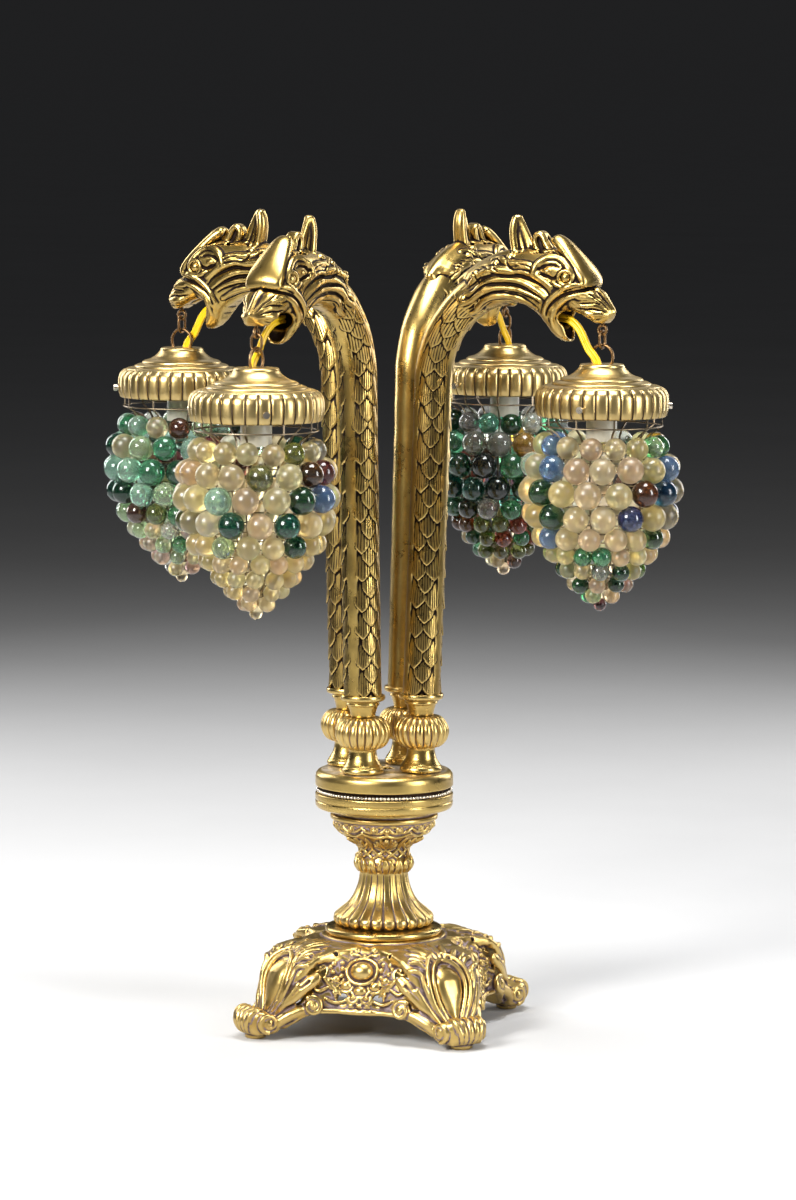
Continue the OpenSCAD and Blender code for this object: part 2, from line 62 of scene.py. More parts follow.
cam = bpy.data.cameras.new("camera")
cam.lens = 139.35
cam.sensor_width = 36.0
cam.clip_start, cam.clip_end = 0.1, 600
cam_o = bpy.data.objects.new("camera", cam)
bpy.context.collection.objects.link(cam_o)
loc = R30 @ Vector((0.00377, -3.4837, 0.712))
cam_o.matrix_world = (Matrix.Translation(loc) @ R30 @ Matrix.Rotation(-0.0017, 4, "Z")
                      @ Matrix.Rotation(math.radians(90 - 6.36), 4, "X") @ Matrix.Rotation(0.0052, 4, "Z"))
SCENE.camera = cam_o


# ------------------------------------------------------------------ materials
def new_mat(name):
    m = bpy.data.materials.new(name)
    m.use_nodes = True
    nt = m.node_tree
    for n in list(nt.nodes):
        nt.nodes.remove(n)
    out = nt.nodes.new("ShaderNodeOutputMaterial")
    b = nt.nodes.new("ShaderNodeBsdfPrincipled")
    nt.links.new(b.outputs[0], out.inputs[0])
    return m, nt, b


def noise(nt, scale, detail=4.0, rough=0.6, vec=None, stretch=None):
    n = nt.nodes.new("ShaderNodeTexNoise")
    n.inputs["Scale"].default_value = scale
    n.inputs["Detail"].default_value = detail
    n.inputs["Roughness"].default_value = rough
    if vec is None:
        vec = nt.nodes.new("ShaderNodeTexCoord").outputs["Object"]
    if stretch is not None:
        mp = nt.nodes.new("ShaderNodeMapping")
        mp.inputs["Scale"].default_value = stretch
        nt.links.new(vec, mp.inputs["Vector"])
        vec = mp.outputs[0]
    nt.links.new(vec, n.inputs["Vector"])
    return n.outputs["Fac"]


def ramp(nt, fac, stops):
    r = nt.nodes.new("ShaderNodeValToRGB")
    e = r.color_ramp.elements
    while len(e) < len(stops):
        e.new(0.5)
    for k, (p, c) in enumerate(stops):
        e[k].position = p
        e[k].color = (c[0], c[1], c[2], 1.0) if hasattr(c, "__len__") else (c, c, c, 1.0)
    nt.links.new(fac, r.inputs["Fac"])
    return r.outputs["Color"]


def mix(nt, fac, a, b, mode="MIX"):
    n = nt.nodes.new("ShaderNodeMix")
    n.data_type = "RGBA"
    n.blend_type = mode
    for sock, v in ((n.inputs[0], fac), (n.inputs[6], a), (n.inputs[7], b)):
        if hasattr(v, "is_output"):
            nt.links.new(v, sock)
        elif hasattr(v, "__len__"):
            sock.default_value = (v[0], v[1], v[2], 1.0)
        else:
            sock.default_value = v
    return n.outputs[2]


def math_node(nt, op, a, b=None, clamp=False):
    n = nt.nodes.new("ShaderNodeMath")
    n.operation = op
    n.use_clamp = clamp
    for k, v in enumerate((a, b)):
        if v is None:
            continue
        if hasattr(v, "is_output"):
            nt.links.new(v, n.inputs[k])
        else:
            n.inputs[k].default_value = v
    return n.outputs[0]


def bump(nt, b, height, strength=0.3, dist=0.0005):
    n = nt.nodes.new("ShaderNodeBump")
    n.inputs["Strength"].default_value = strength
    n.inputs["Distance"].default_value = dist
    nt.links.new(height, n.inputs["Height"])
    nt.links.new(n.outputs[0], b.inputs["Normal"])


def brass(name, light=(0.80, 0.53, 0.15), dark=(0.11, 0.055, 0.022), dust=(0.40, 0.33, 0.36), wear=0.5, rough=(0.17, 0.40), cav=True, dirt=1.0, bumpy=0.2, black=0.0):
    """Aged brass: bright on what stands proud, brown patina and pale lilac dust in the hollows; where a piece forces
    its cavity value high, the same dark colour is painted shade.
    """
    m, nt, b = new_mat(name)
    b.inputs["Metallic"].default_value = 1.0
    n1 = noise(nt, 62.0, 7.0, 0.66)
    n2 = noise(nt, 430.0, 4.0, 0.6)
    n3 = noise(nt, 17.0, 3.0, 0.5)
    n4 = noise(nt, 34.0, 5.0, 0.6, stretch=(1.0, 1.0, 0.3))
    body = ramp(nt, n3, [(0.3, (light[0] * 0.80, light[1] * 0.74, light[2] * 0.68)), (0.52, light),
                         (0.8, (min(1, light[0] * 1.10), light[1] * 1.14, light[2] * 1.3))])
    stain = math_node(nt, "MULTIPLY", ramp(nt, n1, [(0.47, 0.0), (0.74, 1.0)]), wear * 0.5)
    col = mix(nt, stain, body, (dark[0] * 2.3, dark[1] * 2.0, dark[2] * 1.4))
    drip = math_node(nt, "MULTIPLY", ramp(nt, n4, [(0.55, 0.0), (0.78, 1.0)]), wear * 0.55)
    col = mix(nt, drip, col, (0.30, 0.13, 0.045))
    if cav:
        a = nt.nodes.new("ShaderNodeAttribute")
        a.attribute_name = "cavity"
        c = math_node(nt, "ADD", a.outputs["Fac"], math_node(nt, "MULTIPLY", math_node(nt, "SUBTRACT", n2, 0.5), 0.3))
        deep = ramp(nt, c, [(0.53 - 0.02 * black, 0.0), (0.60 - 0.03 * black, 0.45 + 0.2 * black), (0.74 - 0.07 * black, 1.0)])
        col = mix(nt, deep, col, dark)
        dusty = ramp(nt, c, [(0.56, 0.0), (0.66, 0.62 * dirt), (0.74, 0.5 * dirt), (0.9, 0.12 * dirt)])
        dm = math_node(nt, "MULTIPLY", dusty, ramp(nt, n1, [(0.36, 0.15), (0.62, 1.0)]))
        col = mix(nt, dm, col, dust)
        edge = ramp(nt, a.outputs["Fac"], [(0.18, 1.0), (0.42, 0.0)])
        col = mix(nt, math_node(nt, "MULTIPLY", edge, 0.6), col, (min(1, light[0] * 1.16), min(1, light[1] * 1.2), min(1, light[2] * 1.5)))
        nt.links.new(math_node(nt, "SUBTRACT", 1.0, math_node(nt, "MULTIPLY", dm, 0.9)), b.inputs["Metallic"])
        rg = ramp(nt, n1, [(0.25, rough[0]), (0.8, rough[1])])
        nt.links.new(mix(nt, deep, rg, (0.62, 0.62, 0.62)), b.inputs["Roughness"])
    else:
        nt.links.new(ramp(nt, n1, [(0.25, rough[0]), (0.8, rough[1])]), b.inputs["Roughness"])
    nt.links.new(col, b.inputs["Base Color"])
    h = math_node(nt, "ADD", math_node(nt, "MULTIPLY", n2, 0.5), math_node(nt, "MULTIPLY", n1, 0.6))
    bump(nt, b, h, bumpy, 0.0006)
    return m


M_CAST = brass("cast_brass", light=(0.53, 0.365, 0.105), dark=(0.014, 0.008, 0.005), wear=0.75, rough=(0.22, 0.40), dirt=0.10, black=1.0)
M_BASE = brass("base_brass", light=(0.57, 0.40, 0.125), dark=(0.06, 0.032, 0.018), dust=(0.42, 0.33, 0.365), wear=0.6, rough=(0.25, 0.43), dirt=1.3, black=0.3)
M_SPUN = brass("spun_brass", light=(0.56, 0.395, 0.12), dark=(0.05, 0.026, 0.012), wear=0.5, rough=(0.22, 0.38), dirt=0.4, bumpy=0.1)
M_CAP = brass("cap_brass", light=(0.58, 0.43, 0.17), dark=(0.045, 0.026, 0.012), wear=0.4, rough=(0.27, 0.42), dirt=0.2, bumpy=0.06, black=0.8)
M_SILVER = brass("bead_brass", light=(0.72, 0.66, 0.55), dark=(0.25, 0.2, 0.15), cav=False)
M_COPPER = brass("copper_wire", light=(0.24, 0.145, 0.065), dark=(0.05, 0.03, 0.018), cav=False, rough=(0.28, 0.5))
M_WIRE = brass("cage_wire", light=(0.27, 0.22, 0.15), dark=(0.06, 0.045, 0.03), cav=False, rough=(0.3, 0.5))
M_STEEL = brass("steel_rod", light=(0.55, 0.55, 0.53), dark=(0.3, 0.25, 0.2), cav=False)


def dusty_lid():
    """The drum's cover: brass whose flat top has gathered pale dust."""
    m = brass("lid_brass", light=(0.56, 0.395, 0.12), dark=(0.05, 0.026, 0.012), wear=0.5, rough=(0.24, 0.40), dirt=0.4, bumpy=0.1)
    nt = m.node_tree
    b = next(n for n in nt.nodes if n.type == "BSDF_PRINCIPLED")
    geo = nt.nodes.new("ShaderNodeTexCoord")
    sep = nt.nodes.new("ShaderNodeSeparateXYZ")
    nt.links.new(geo.outputs["Normal"], sep.inputs[0])
    top = ramp(nt, sep.outputs["Z"], [(0.9, 0.0), (0.99, 1.0)])
    k = math_node(nt, "MULTIPLY", top, ramp(nt, noise(nt, 45.0, 6.0, 0.65), [(0.38, 0.0), (0.6, 0.85)]))
    old = b.inputs["Base Color"].links[0].from_socket
    nt.links.new(mix(nt, k, old, (0.52, 0.47, 0.42)), b.inputs["Base Color"])
    oldm = b.inputs["Metallic"].links[0].from_socket
    nt.links.new(math_node(nt, "MULTIPLY", oldm, math_node(nt, "SUBTRACT", 1.0, math_node(nt, "MULTIPLY", k, 0.9))), b.inputs["Metallic"])
    return m


M_LID = dusty_lid()


def plastic(name, colour, rough, spread=0.06, sub=0.0):
    m, nt, b = new_mat(name)
    n1 = noise(nt, 90.0, 5.0)
    col = ramp(nt, n1, [(0.3, [max(0, c - spread) for c in colour]), (0.6, colour)])
    nt.links.new(col, b.inputs["Base Color"])
    nt.links.new(ramp(nt, noise(nt, 300.0), [(0.3, rough * 0.8), (0.8, rough * 1.3)]), b.inputs["Roughness"])
    if sub:
        b.inputs["Subsurface Weight"].default_value = sub
        b.inputs["Subsurface Radius"].default_value = (0.004, 0.003, 0.002)
    bump(nt, b, noise(nt, 700.0), 0.08, 0.0003)
    return m


M_WHITE = plastic("white_plastic", (0.86, 0.82, 0.70), 0.4)
M_YELLOW = plastic("yellow_pvc", (0.90, 0.58, 0.015), 0.36)


def glass(name, frosted):
    """Bead glass. Its colour comes with the mesh; bubbles and haze from noise."""
    m, nt, b = new_mat(name)
    a = nt.nodes.new("ShaderNodeAttribute")
    a.attribute_name = "tint"
    haze = ramp(nt, noise(nt, 120.0, 3.0, 0.5), [(0.42, 0.0), (0.78, 1.0)])
    cloud = noise(nt, 60.0, 3.0, 0.5)
    col = mix(nt, math_node(nt, "MULTIPLY", haze, 0.22 if frosted else 0.10), a.outputs["Color"], (0.90, 0.80, 0.60) if frosted else (0.72, 0.76, 0.70))
    nt.links.new(col, b.inputs["Base Color"])
    b.inputs["IOR"].default_value = 1.47
    if frosted:
        nt.links.new(ramp(nt, cloud, [(0.3, 0.28), (0.7, 0.40)]), b.inputs["Roughness"])
        b.inputs["Transmission Weight"].default_value = 0.93
        b.inputs["Subsurface Weight"].default_value = 0.08
        b.inputs["Subsurface Radius"].default_value = (0.006, 0.006, 0.004)
        b.inputs["Coat Weight"].default_value = 0.22
        b.inputs["Coat Roughness"].default_value = 0.16
    else:
        nt.links.new(ramp(nt, cloud, [(0.35, 0.12), (0.7, 0.26)]), b.inputs["Roughness"])
        b.inputs["Transmission Weight"].default_value = 0.86
        b.inputs["Coat Weight"].default_value = 0.3
        b.inputs["Coat Roughness"].default_value = 0.1
    bump(nt, b, noise(nt, 160.0, 2.0), 0.03, 0.0004)
    return m


M_CLEAR = glass("glass_clear", False)
M_FROST = glass("glass_frosted", True)
SLOT_MAT = {"cast_brass": M_CAST, "spun_brass": M_SPUN, "bead_brass": M_SILVER, "copper_wire": M_COPPER, "cage_wire": M_WIRE,
            "white_plastic": M_WHITE, "yellow_pvc": M_YELLOW, "glass_beads": M_FROST, "steel_rod": M_STEEL}
NODE_SLOT = {s["node"]: s["material_slot"] for s in frame["record"]["subparts"]}
for name, o in frame["nodes"].items():
    mat = SLOT_MAT[NODE_SLOT[name]]
    if len(o.material_slots) == 0:
        o.data.materials.append(mat)
    for s in o.material_slots:
        s.link = "OBJECT"
        s.material = mat


# ------------------------------------------------------------------ shape tools (millimetres)
def lerp_tab(x, tab):
    t = np.array(tab, float)
    return np.interp(x, t[:, 0], t[:, 1])


def spline(pts, step):
    """Points along a Catmull-Rom curve through pts (any number of columns), about step apart by the first three."""
    P = np.array(pts, float)
    if len(P) == 2:
        n = max(2, int(np.linalg.norm((P[1] - P[0])[:3]) / step) + 1)
        t = np.linspace(0, 1, n)[:, None]
        return P[0] * (1 - t) + P[1] * t
    Q = np.vstack([2 * P[0] - P[1], P, 2 * P[-1] - P[-2]])
    out = []
    for i in range(1, len(Q) - 2):
        a, b, c, d = Q[i - 1], Q[i], Q[i + 1], Q[i + 2]
        t = np.linspace(0, 1, 16, endpoint=False)[:, None]
        out.append(0.5 * (2 * b + (c - a) * t + (2 * a - 5 * b + 4 * c - d) * t * t + (3 * b - a - 3 * c + d) * t ** 3))
    out = np.vstack(out + [P[-1:]])
    k3 = min(3, out.shape[1])
    s = np.concatenate([[0], np.cumsum(np.linalg.norm(np.diff(out[:, :k3], axis=0), axis=1))])
    n = max(2, int(round(s[-1] / step)) + 1)
    q = np.linspace(0, s[-1], n)
    return np.stack([np.interp(q, s, out[:, j]) for j in range(out.shape[1])], 1)


def poly_sdf(X, Z, poly):
    """Signed distance in the plane to a closed polygon, negative inside."""
    P = np.array(poly, float)
    d = np.full(X.shape, 1e9)
    inside = np.zeros(X.shape, bool)
    for a, b in zip(P, np.roll(P, -1, 0)):
        e = b - a
        wx, wz = X - a[0], Z - a[1]
        t = np.clip((wx * e[0] + wz * e[1]) / (e @ e), 0, 1)
        d = np.minimum(d, (wx - e[0] * t) ** 2 + (wz - e[1] * t) ** 2)
        c = (a[1] > Z) != (b[1] > Z)
        if abs(b[1] - a[1]) > 1e-12:
            inside ^= c & (X < (b[0] - a[0]) * (Z - a[1]) / (b[1] - a[1]) + a[0])
    d = np.sqrt(d)
    return np.where(inside, -d, d)


def smin(a, b, k):
    if np.ndim(k) == 0 and k <= 0:
        return np.minimum(a, b)
    h = np.clip(0.5 + 0.5 * (b - a) / k, 0, 1)
    return b + (a - b) * h - k * h * (1 - h)


class Field:
    """A signed distance field on a box grid (polar=False) or on a ring grid of r, angle and height (polar=True)."""

    def __init__(self, lo, hi, h, polar=False, n_phi=None):
        self.polar = polar
        self.h = h
        self.ax = []
        for i in range(3):
            if polar and i == 1:
                self.ax.append(lo[1] + (hi[1] - lo[1]) * (np.arange(n_phi) + 0.5) / n_phi)
            else:
                n = int(math.ceil((hi[i] - lo[i]) / h)) + 1
                self.ax.append(lo[i] + h * np.arange(n))
        self.D = np.full([len(a) for a in self.ax], 50.0, np.float32)

    def block(self, lo, hi, m):
        lo, hi = np.array(lo, float) - m, np.array(hi, float) + m
        if self.polar:
            cx, cy = np.meshgrid([lo[0], hi[0]], [lo[1], hi[1]])
            r, f = np.hypot(cx, cy), np.arctan2(cy, cx)
            near = np.hypot(max(lo[0], 0, -hi[0]), max(lo[1], 0, -hi[1]))
            lo, hi = [near, f.min(), lo[2]], [r.max(), f.max(), hi[2]]
        sl = []
        for i in range(3):
            a = np.searchsorted(self.ax[i], lo[i])
            b = np.searchsorted(self.ax[i], hi[i], side="right")
            if b <= a:
                return None, None
            sl.append(slice(a, b))
        A = [self.ax[i][sl[i]] for i in range(3)]
        if self.polar:
            R, F = A[0][:, None, None], A[1][None, :, None]
            X, Y = R * np.cos(F), R * np.sin(F)
            return tuple(sl), np.broadcast_arrays(X, Y, A[2][None, None, :])
        return tuple(sl), np.broadcast_arrays(A[0][:, None, None], A[1][None, :, None], A[2][None, None, :])

    def put(self, f, lo, hi, k=0.0, cut=False):
        sl, P = self.block(lo, hi, max(k, 0.0) + 1.5 * self.h)
        if sl is None:
            return
        d = f(*P)
        if cut:
            self.D[sl] = -smin(-self.D[sl], d, k)
        else:
            self.D[sl] = smin(self.D[sl], d, k)

    def chain(self, pts, rad, k=1.0, cut=False, step=None, flat=None):
        """A tube through pts, with a radius for each. flat = (direction, factor) squeezes it along a direction."""
        P = np.array(pts, float)
        r = np.broadcast_to(np.array(rad, float), (len(P),)) if np.ndim(rad) <= 1 else rad
        if step:
            C = spline(np.column_stack([P, r]), step)
            P, r = C[:, :3], C[:, 3]
        R = r.max()
        sl, G = self.block((P - R).min(0), (P + R).max(0), k + 1.5 * self.h)
        if sl is None:
            return
        T = np.full(G[0].shape, 50.0, np.float32)
        m = k + 1.5 * self.h
        for a, b, ra, rb in zip(P[:-1], P[1:], r[:-1], r[1:]):
            q = max(ra, rb) + m
            l2, h2 = np.minimum(a, b) - q, np.maximum(a, b) + q
            if self.polar:
                mask = ((G[0] > l2[0]) & (G[0] < h2[0]) & (G[1] > l2[1]) & (G[1] < h2[1]) & (G[2] > l2[2]) & (G[2] < h2[2]))
                idx = np.nonzero(mask)
                if len(idx[0]) == 0:
                    continue
                x, y, z = (g[idx] for g in G)
            else:
                s2 = []
                for i, ax in enumerate(self.ax):
                    av = ax[sl[i]]
                    s2.append(slice(np.searchsorted(av, l2[i]), np.searchsorted(av, h2[i], side="right")))
                idx = tuple(s2)
                x, y, z = (g[idx] for g in G)
                if x.size == 0:
                    continue
            e = b - a
            ee = max(e @ e, 1e-9)
            t = np.clip(((x - a[0]) * e[0] + (y - a[1]) * e[1] + (z - a[2]) * e[2]) / ee, 0, 1)
            dx, dy, dz = x - a[0] - t * e[0], y - a[1] - t * e[1], z - a[2] - t * e[2]
            if flat is not None:
                n, fct = np.array(flat[0], float), flat[1]
                dn = dx * n[0] + dy * n[1] + dz * n[2]
                dx, dy, dz = dx + n[0] * dn * (fct - 1), dy + n[1] * dn * (fct - 1), dz + n[2] * dn * (fct - 1)
            d = np.sqrt(dx * dx + dy * dy + dz * dz) - (ra + t * (rb - ra))
            if flat is not None:
                d = d / max(1.0, flat[1] ** 0.5)
            T[idx] = np.minimum(T[idx], d)
        if cut:
            self.D[sl] = -smin(-self.D[sl], T, k)
        else:
            self.D[sl] = smin(self.D[sl], T, k)

    def ball(self, c, r, k=1.0, cut=False, axes=None):
        """A ball, or an ellipsoid with radii r along the rows of axes."""
        c = np.array(c, float)
        r = np.broadcast_to(np.array(r, float), (3,))
        A = np.eye(3) if axes is None else np.array(axes, float)
        R = r.max()

        def f(X, Y, Z):
            x, y, z = X - c[0], Y - c[1], Z - c[2]
            q = [(x * a[0] + y * a[1] + z * a[2]) / rr for a, rr in zip(A, r)]
            l = np.sqrt(q[0] ** 2 + q[1] ** 2 + q[2] ** 2)
            g = np.sqrt((q[0] / r[0]) ** 2 + (q[1] / r[1]) ** 2 + (q[2] / r[2]) ** 2)
            return l * (l - 1) / np.maximum(g, 1e-6)
        self.put(f, c - R, c + R, k, cut)

    def at(self, p):
        """Field value at points (trilinear), box grids only."""
        p = np.atleast_2d(np.array(p, float))
        q = [np.clip((p[:, i] - self.ax[i][0]) / self.h, 0, len(self.ax[i]) - 1.001) for i in range(3)]
        i0 = [np.floor(v).astype(int) for v in q]
        f = [v - i for v, i in zip(q, i0)]
        out = 0
        for a in (0, 1):
            for b in (0, 1):
                for c in (0, 1):
                    w = (f[0] if a else 1 - f[0]) * (f[1] if b else 1 - f[1]) * (f[2] if c else 1 - f[2])
                    out = out + w * self.D[i0[0] + a, i0[1] + b, i0[2] + c]
        return out


def surface_nets(D, wrap=False):
    """Vertices (in grid indices) and quads of the zero surface of D. wrap closes the second axis on itself."""
    if wrap:
        D = np.concatenate([D, D[:, :1]], 1)
    S = D < 0
    n = np.array(D.shape) - 1
    cnt = np.zeros(n, np.int8)
    for a in (0, 1):
        for b in (0, 1):
            for c in (0, 1):
                cnt += S[a:n[0] + a, b:n[1] + b, c:n[2] + c]
    act = np.nonzero((cnt > 0) & (cnt < 8))
    N = len(act[0])
    ids = np.full(n, -1, np.int32)
    ids[act] = np.arange(N, dtype=np.int32)
    corner = {}
    for a in (0, 1):
        for b in (0, 1):
            for c in (0, 1):
                corner[a, b, c] = D[act[0] + a, act[1] + b, act[2] + c].astype(np.float64)
    acc = np.zeros((N, 3))
    num = np.zeros(N)
    for axis in range(3):
        others = [i for i in range(3) if i != axis]
        for p in (0, 1):
            for q in (0, 1):
                k0, k1 = [0, 0, 0], [0, 0, 0]
                k0[others[0]] = k1[others[0]] = p
                k0[others[1]] = k1[others[1]] = q
                k1[axis] = 1
                v0, v1 = corner[tuple(k0)], corner[tuple(k1)]
                m = (v0 < 0) != (v1 < 0)
                t = np.where(m, v0 / np.where(m, v0 - v1, 1), 0)
                acc[:, others[0]] += m * p
                acc[:, others[1]] += m * q
                acc[:, axis] += m * t
                num += m
    V = np.stack(act, 1) + acc / num[:, None]
    quads = []
    for axis in range(3):
        o1, o2 = [i for i in range(3) if i != axis]
        sa = [slice(None)] * 3
        sb = [slice(None)] * 3
        sa[axis], sb[axis] = slice(0, -1), slice(1, None)
        flip = S[tuple(sa)] != S[tuple(sb)]
        e = np.nonzero(flip)
        inside_first = S[tuple(sa)][e]
        c = [np.array(x) for x in e]
        if wrap and axis != 1:
            keep = c[1] < n[1]
            c = [x[keep] for x in c]
            inside_first = inside_first[keep]
        ok = np.ones(len(c[0]), bool)
        for o in (o1, o2):
            if not (wrap and o == 1):
                ok &= (c[o] > 0) & (c[o] < n[o])
        c = [x[ok] for x in c]
        inside_first = inside_first[ok]
        def cell(d1, d2):
            k = [x.copy() for x in c]
            k[o1] = k[o1] - d1
            k[o2] = k[o2] - d2
            if wrap:
                k[1] = k[1] % n[1]
            return ids[k[0], k[1], k[2]]
        q = np.stack([cell(1, 1), cell(0, 1), cell(0, 0), cell(1, 0)], 1)
        if axis == 1:
            inside_first = ~inside_first
        q = np.where(inside_first[:, None], q, q[:, ::-1])
        quads.append(q)
    return V, np.vstack(quads)


def edges_of(F):
    E = np.concatenate([F[:, [i, (i + 1) % F.shape[1]]] for i in range(F.shape[1])])
    return E


def smooth_pts(V, E, n, lam=0.5):
    """Laplacian smoothing with the edges E (each used both ways or once, it doesn't matter)."""
    deg = np.bincount(E.ravel(), minlength=len(V)).astype(float)
    W = V.copy()
    for _ in range(n):
        acc = np.zeros_like(W)
        for j in range(3):
            acc[:, j] = np.bincount(E[:, 0], W[E[:, 1], j], len(V)) + np.bincount(E[:, 1], W[E[:, 0], j], len(V))
        W = W + lam * (acc / np.maximum(deg, 1)[:, None] - W)
    return W


def vertex_normals(V, F):
    a = V[F[:, 2]] - V[F[:, 0]]
    b = V[F[:, -1]] - V[F[:, 1]]
    fn = np.cross(a, b)
    N = np.zeros_like(V)
    for k in range(F.shape[1]):
        for j in range(3):
            N[:, j] += np.bincount(F[:, k], fn[:, j], len(V))
    return N / np.maximum(np.linalg.norm(N, axis=1), 1e-12)[:, None]


def cavity(V, F, steps=(6, 30), gain=(1.6, 0.7)):
    """0.5 on flat ground, towards 1 in hollows and towards 0 on edges that stand proud."""
    E = edges_of(F)
    N = vertex_normals(V, F)
    c = np.zeros(len(V))
    W, done = V, 0
    for n, g in zip(steps, gain):
        W = smooth_pts(W, E, n - done)
        done = n
        c += g * ((W - V) * N).sum(1)
    return np.clip(0.5 + 0.5 * c, 0, 1)


def mirror_half(D):
    """A field known for v >= 0 (its second axis starts on the plane) as the whole."""
    return np.concatenate([D[:, :0:-1], D], 1)


def lathe(profile, n, ripple=None, start=0.0, sweep=2 * math.pi):
    """Closed surface of revolution of a closed or axis-to-axis profile [(r, z)]. ripple(r, z, angle) gives the radius there."""
    P = np.array(profile, float)
    closed = np.allclose(P[0], P[-1])
    if closed:
        P = P[:-1]
    m = len(P)
    f = start + sweep * np.arange(n) / n
    R = np.repeat(P[:, 0][:, None], n, 1)
    Z = np.repeat(P[:, 1][:, None], n, 1)
    if ripple is not None:
        R, Z = ripple(R, Z, f[None, :] + 0 * R)
    V = np.stack([R * np.cos(f), R * np.sin(f), Z], 2).reshape(-1, 3)
    rows = m if closed else m - 1
    i = np.arange(rows)[:, None]
    j = np.arange(n)[None, :]
    a = (i % m) * n + j
    b = (i % m) * n + (j + 1) % n
    c = ((i + 1) % m) * n + (j + 1) % n
    d = ((i + 1) % m) * n + j
    F = np.stack([a, b, c, d], 2).reshape(-1, 4)
    return V, F


def fine(profile, step, sharp=()):
    """A profile resampled along its straight runs."""
    P = [np.array(p, float) for p in profile]
    out = [P[0]]
    for i in range(1, len(P)):
        a, b = P[i - 1], P[i]
        L = np.linalg.norm(b - a)
        k = max(1, int(round(L / step)))
        for t in range(1, k + 1):
            out.append(a + (b - a) * t / k)
    return np.array(out)


def rounded(profile, r, step=0.5, n=4):
    """A polyline whose corners are rounded by r (or by as much as the runs allow)."""
    P = [np.array(p, float) for p in profile]
    out = [P[0]]
    for i in range(1, len(P) - 1):
        a, b, c = P[i - 1], P[i], P[i + 1]
        la, lc = np.linalg.norm(a - b), np.linalg.norm(c - b)
        if la < 1e-9 or lc < 1e-9:
            continue
        q = min(r, la * 0.48, lc * 0.48)
        p0, p1 = b + (a - b) / la * q, b + (c - b) / lc * q
        for t in np.linspace(0, 1, n + 1):
            out.append((1 - t) ** 2 * p0 + 2 * t * (1 - t) * b + t * t * p1)
    out.append(P[-1])
    return fine(out, step)


def tube(path, radius, n=12, up=(0, 0, 1), section=None, caps=True):
    """A swept tube. radius is one number or one for each point. section gives a closed outline [(side, up)] instead of a circle."""
    P = np.array(path, float)
    m = len(P)
    T = np.gradient(P, axis=0)
    T /= np.linalg.norm(T, axis=1)[:, None]
    u = np.array(up, float)
    A = np.zeros_like(P)
    for i in range(m):
        if i:
            u = A[i - 1]
        w = u - T[i] * (u @ T[i])
        A[i] = w / np.linalg.norm(w)
    B = np.cross(T, A)
    if section is None:
        f = 2 * math.pi * np.arange(n) / n
        S = np.stack([np.cos(f), np.sin(f)], 1)
        r = np.broadcast_to(np.array(radius, float), (m,))[:, None, None]
        S = S[None] * r
    else:
        S = np.broadcast_to(np.array(section, float)[None], (m, len(section), 2))
        n = len(section)
    V = P[:, None] + S[..., :1] * B[:, None] + S[..., 1:] * A[:, None]
    i = np.arange(m - 1)[:, None]
    j = np.arange(n)[None, :]
    F = np.stack([i * n + j, i * n + (j + 1) % n, (i + 1) * n + (j + 1) % n, (i + 1) * n + j], 2).reshape(-1, 4)
    V = V.reshape(-1, 3)
    if caps:
        V = np.vstack([V, P[0], P[-1]])
        k = len(V) - 2
        j = np.arange(n)
        c0 = np.stack([(j + 1) % n, j, np.full(n, k), np.full(n, k)], 1)
        c1 = np.stack([(m - 1) * n + j, (m - 1) * n + (j + 1) % n, np.full(n, k + 1), np.full(n, k + 1)], 1)
        F = np.vstack([F, c0, c1])
    return V, F


# ------------------------------------------------------------------ dragon head (arm frame: u outwards, v sideways, z up)
HEAD_SIDE = [(80, 552), (86, 546.5), (92, 546.2), (98, 548.6), (106, 551), (113, 551.8), (122, 549.6), (131, 545), (137, 541), (141, 536), (144, 530.5),
             (148, 526.3), (153, 523.8), (158, 524), (158, 528), (156, 535), (154.5, 541), (157, 545.2), (162, 546.6),
             (170, 544.2), (176, 541), (181, 538.4), (186, 538), (190, 540.8), (193, 545), (192.6, 548), (189.5, 551.5), (185, 556),
             (181, 560.5), (177.6, 562.5), (175.5, 568), (171, 576), (164, 583), (155, 588.5), (145, 591.5), (132, 591.5), (120, 591),
             (110, 589), (102, 587), (95, 585), (87, 581), (80, 577.5), (74, 573.6), (70, 568)]


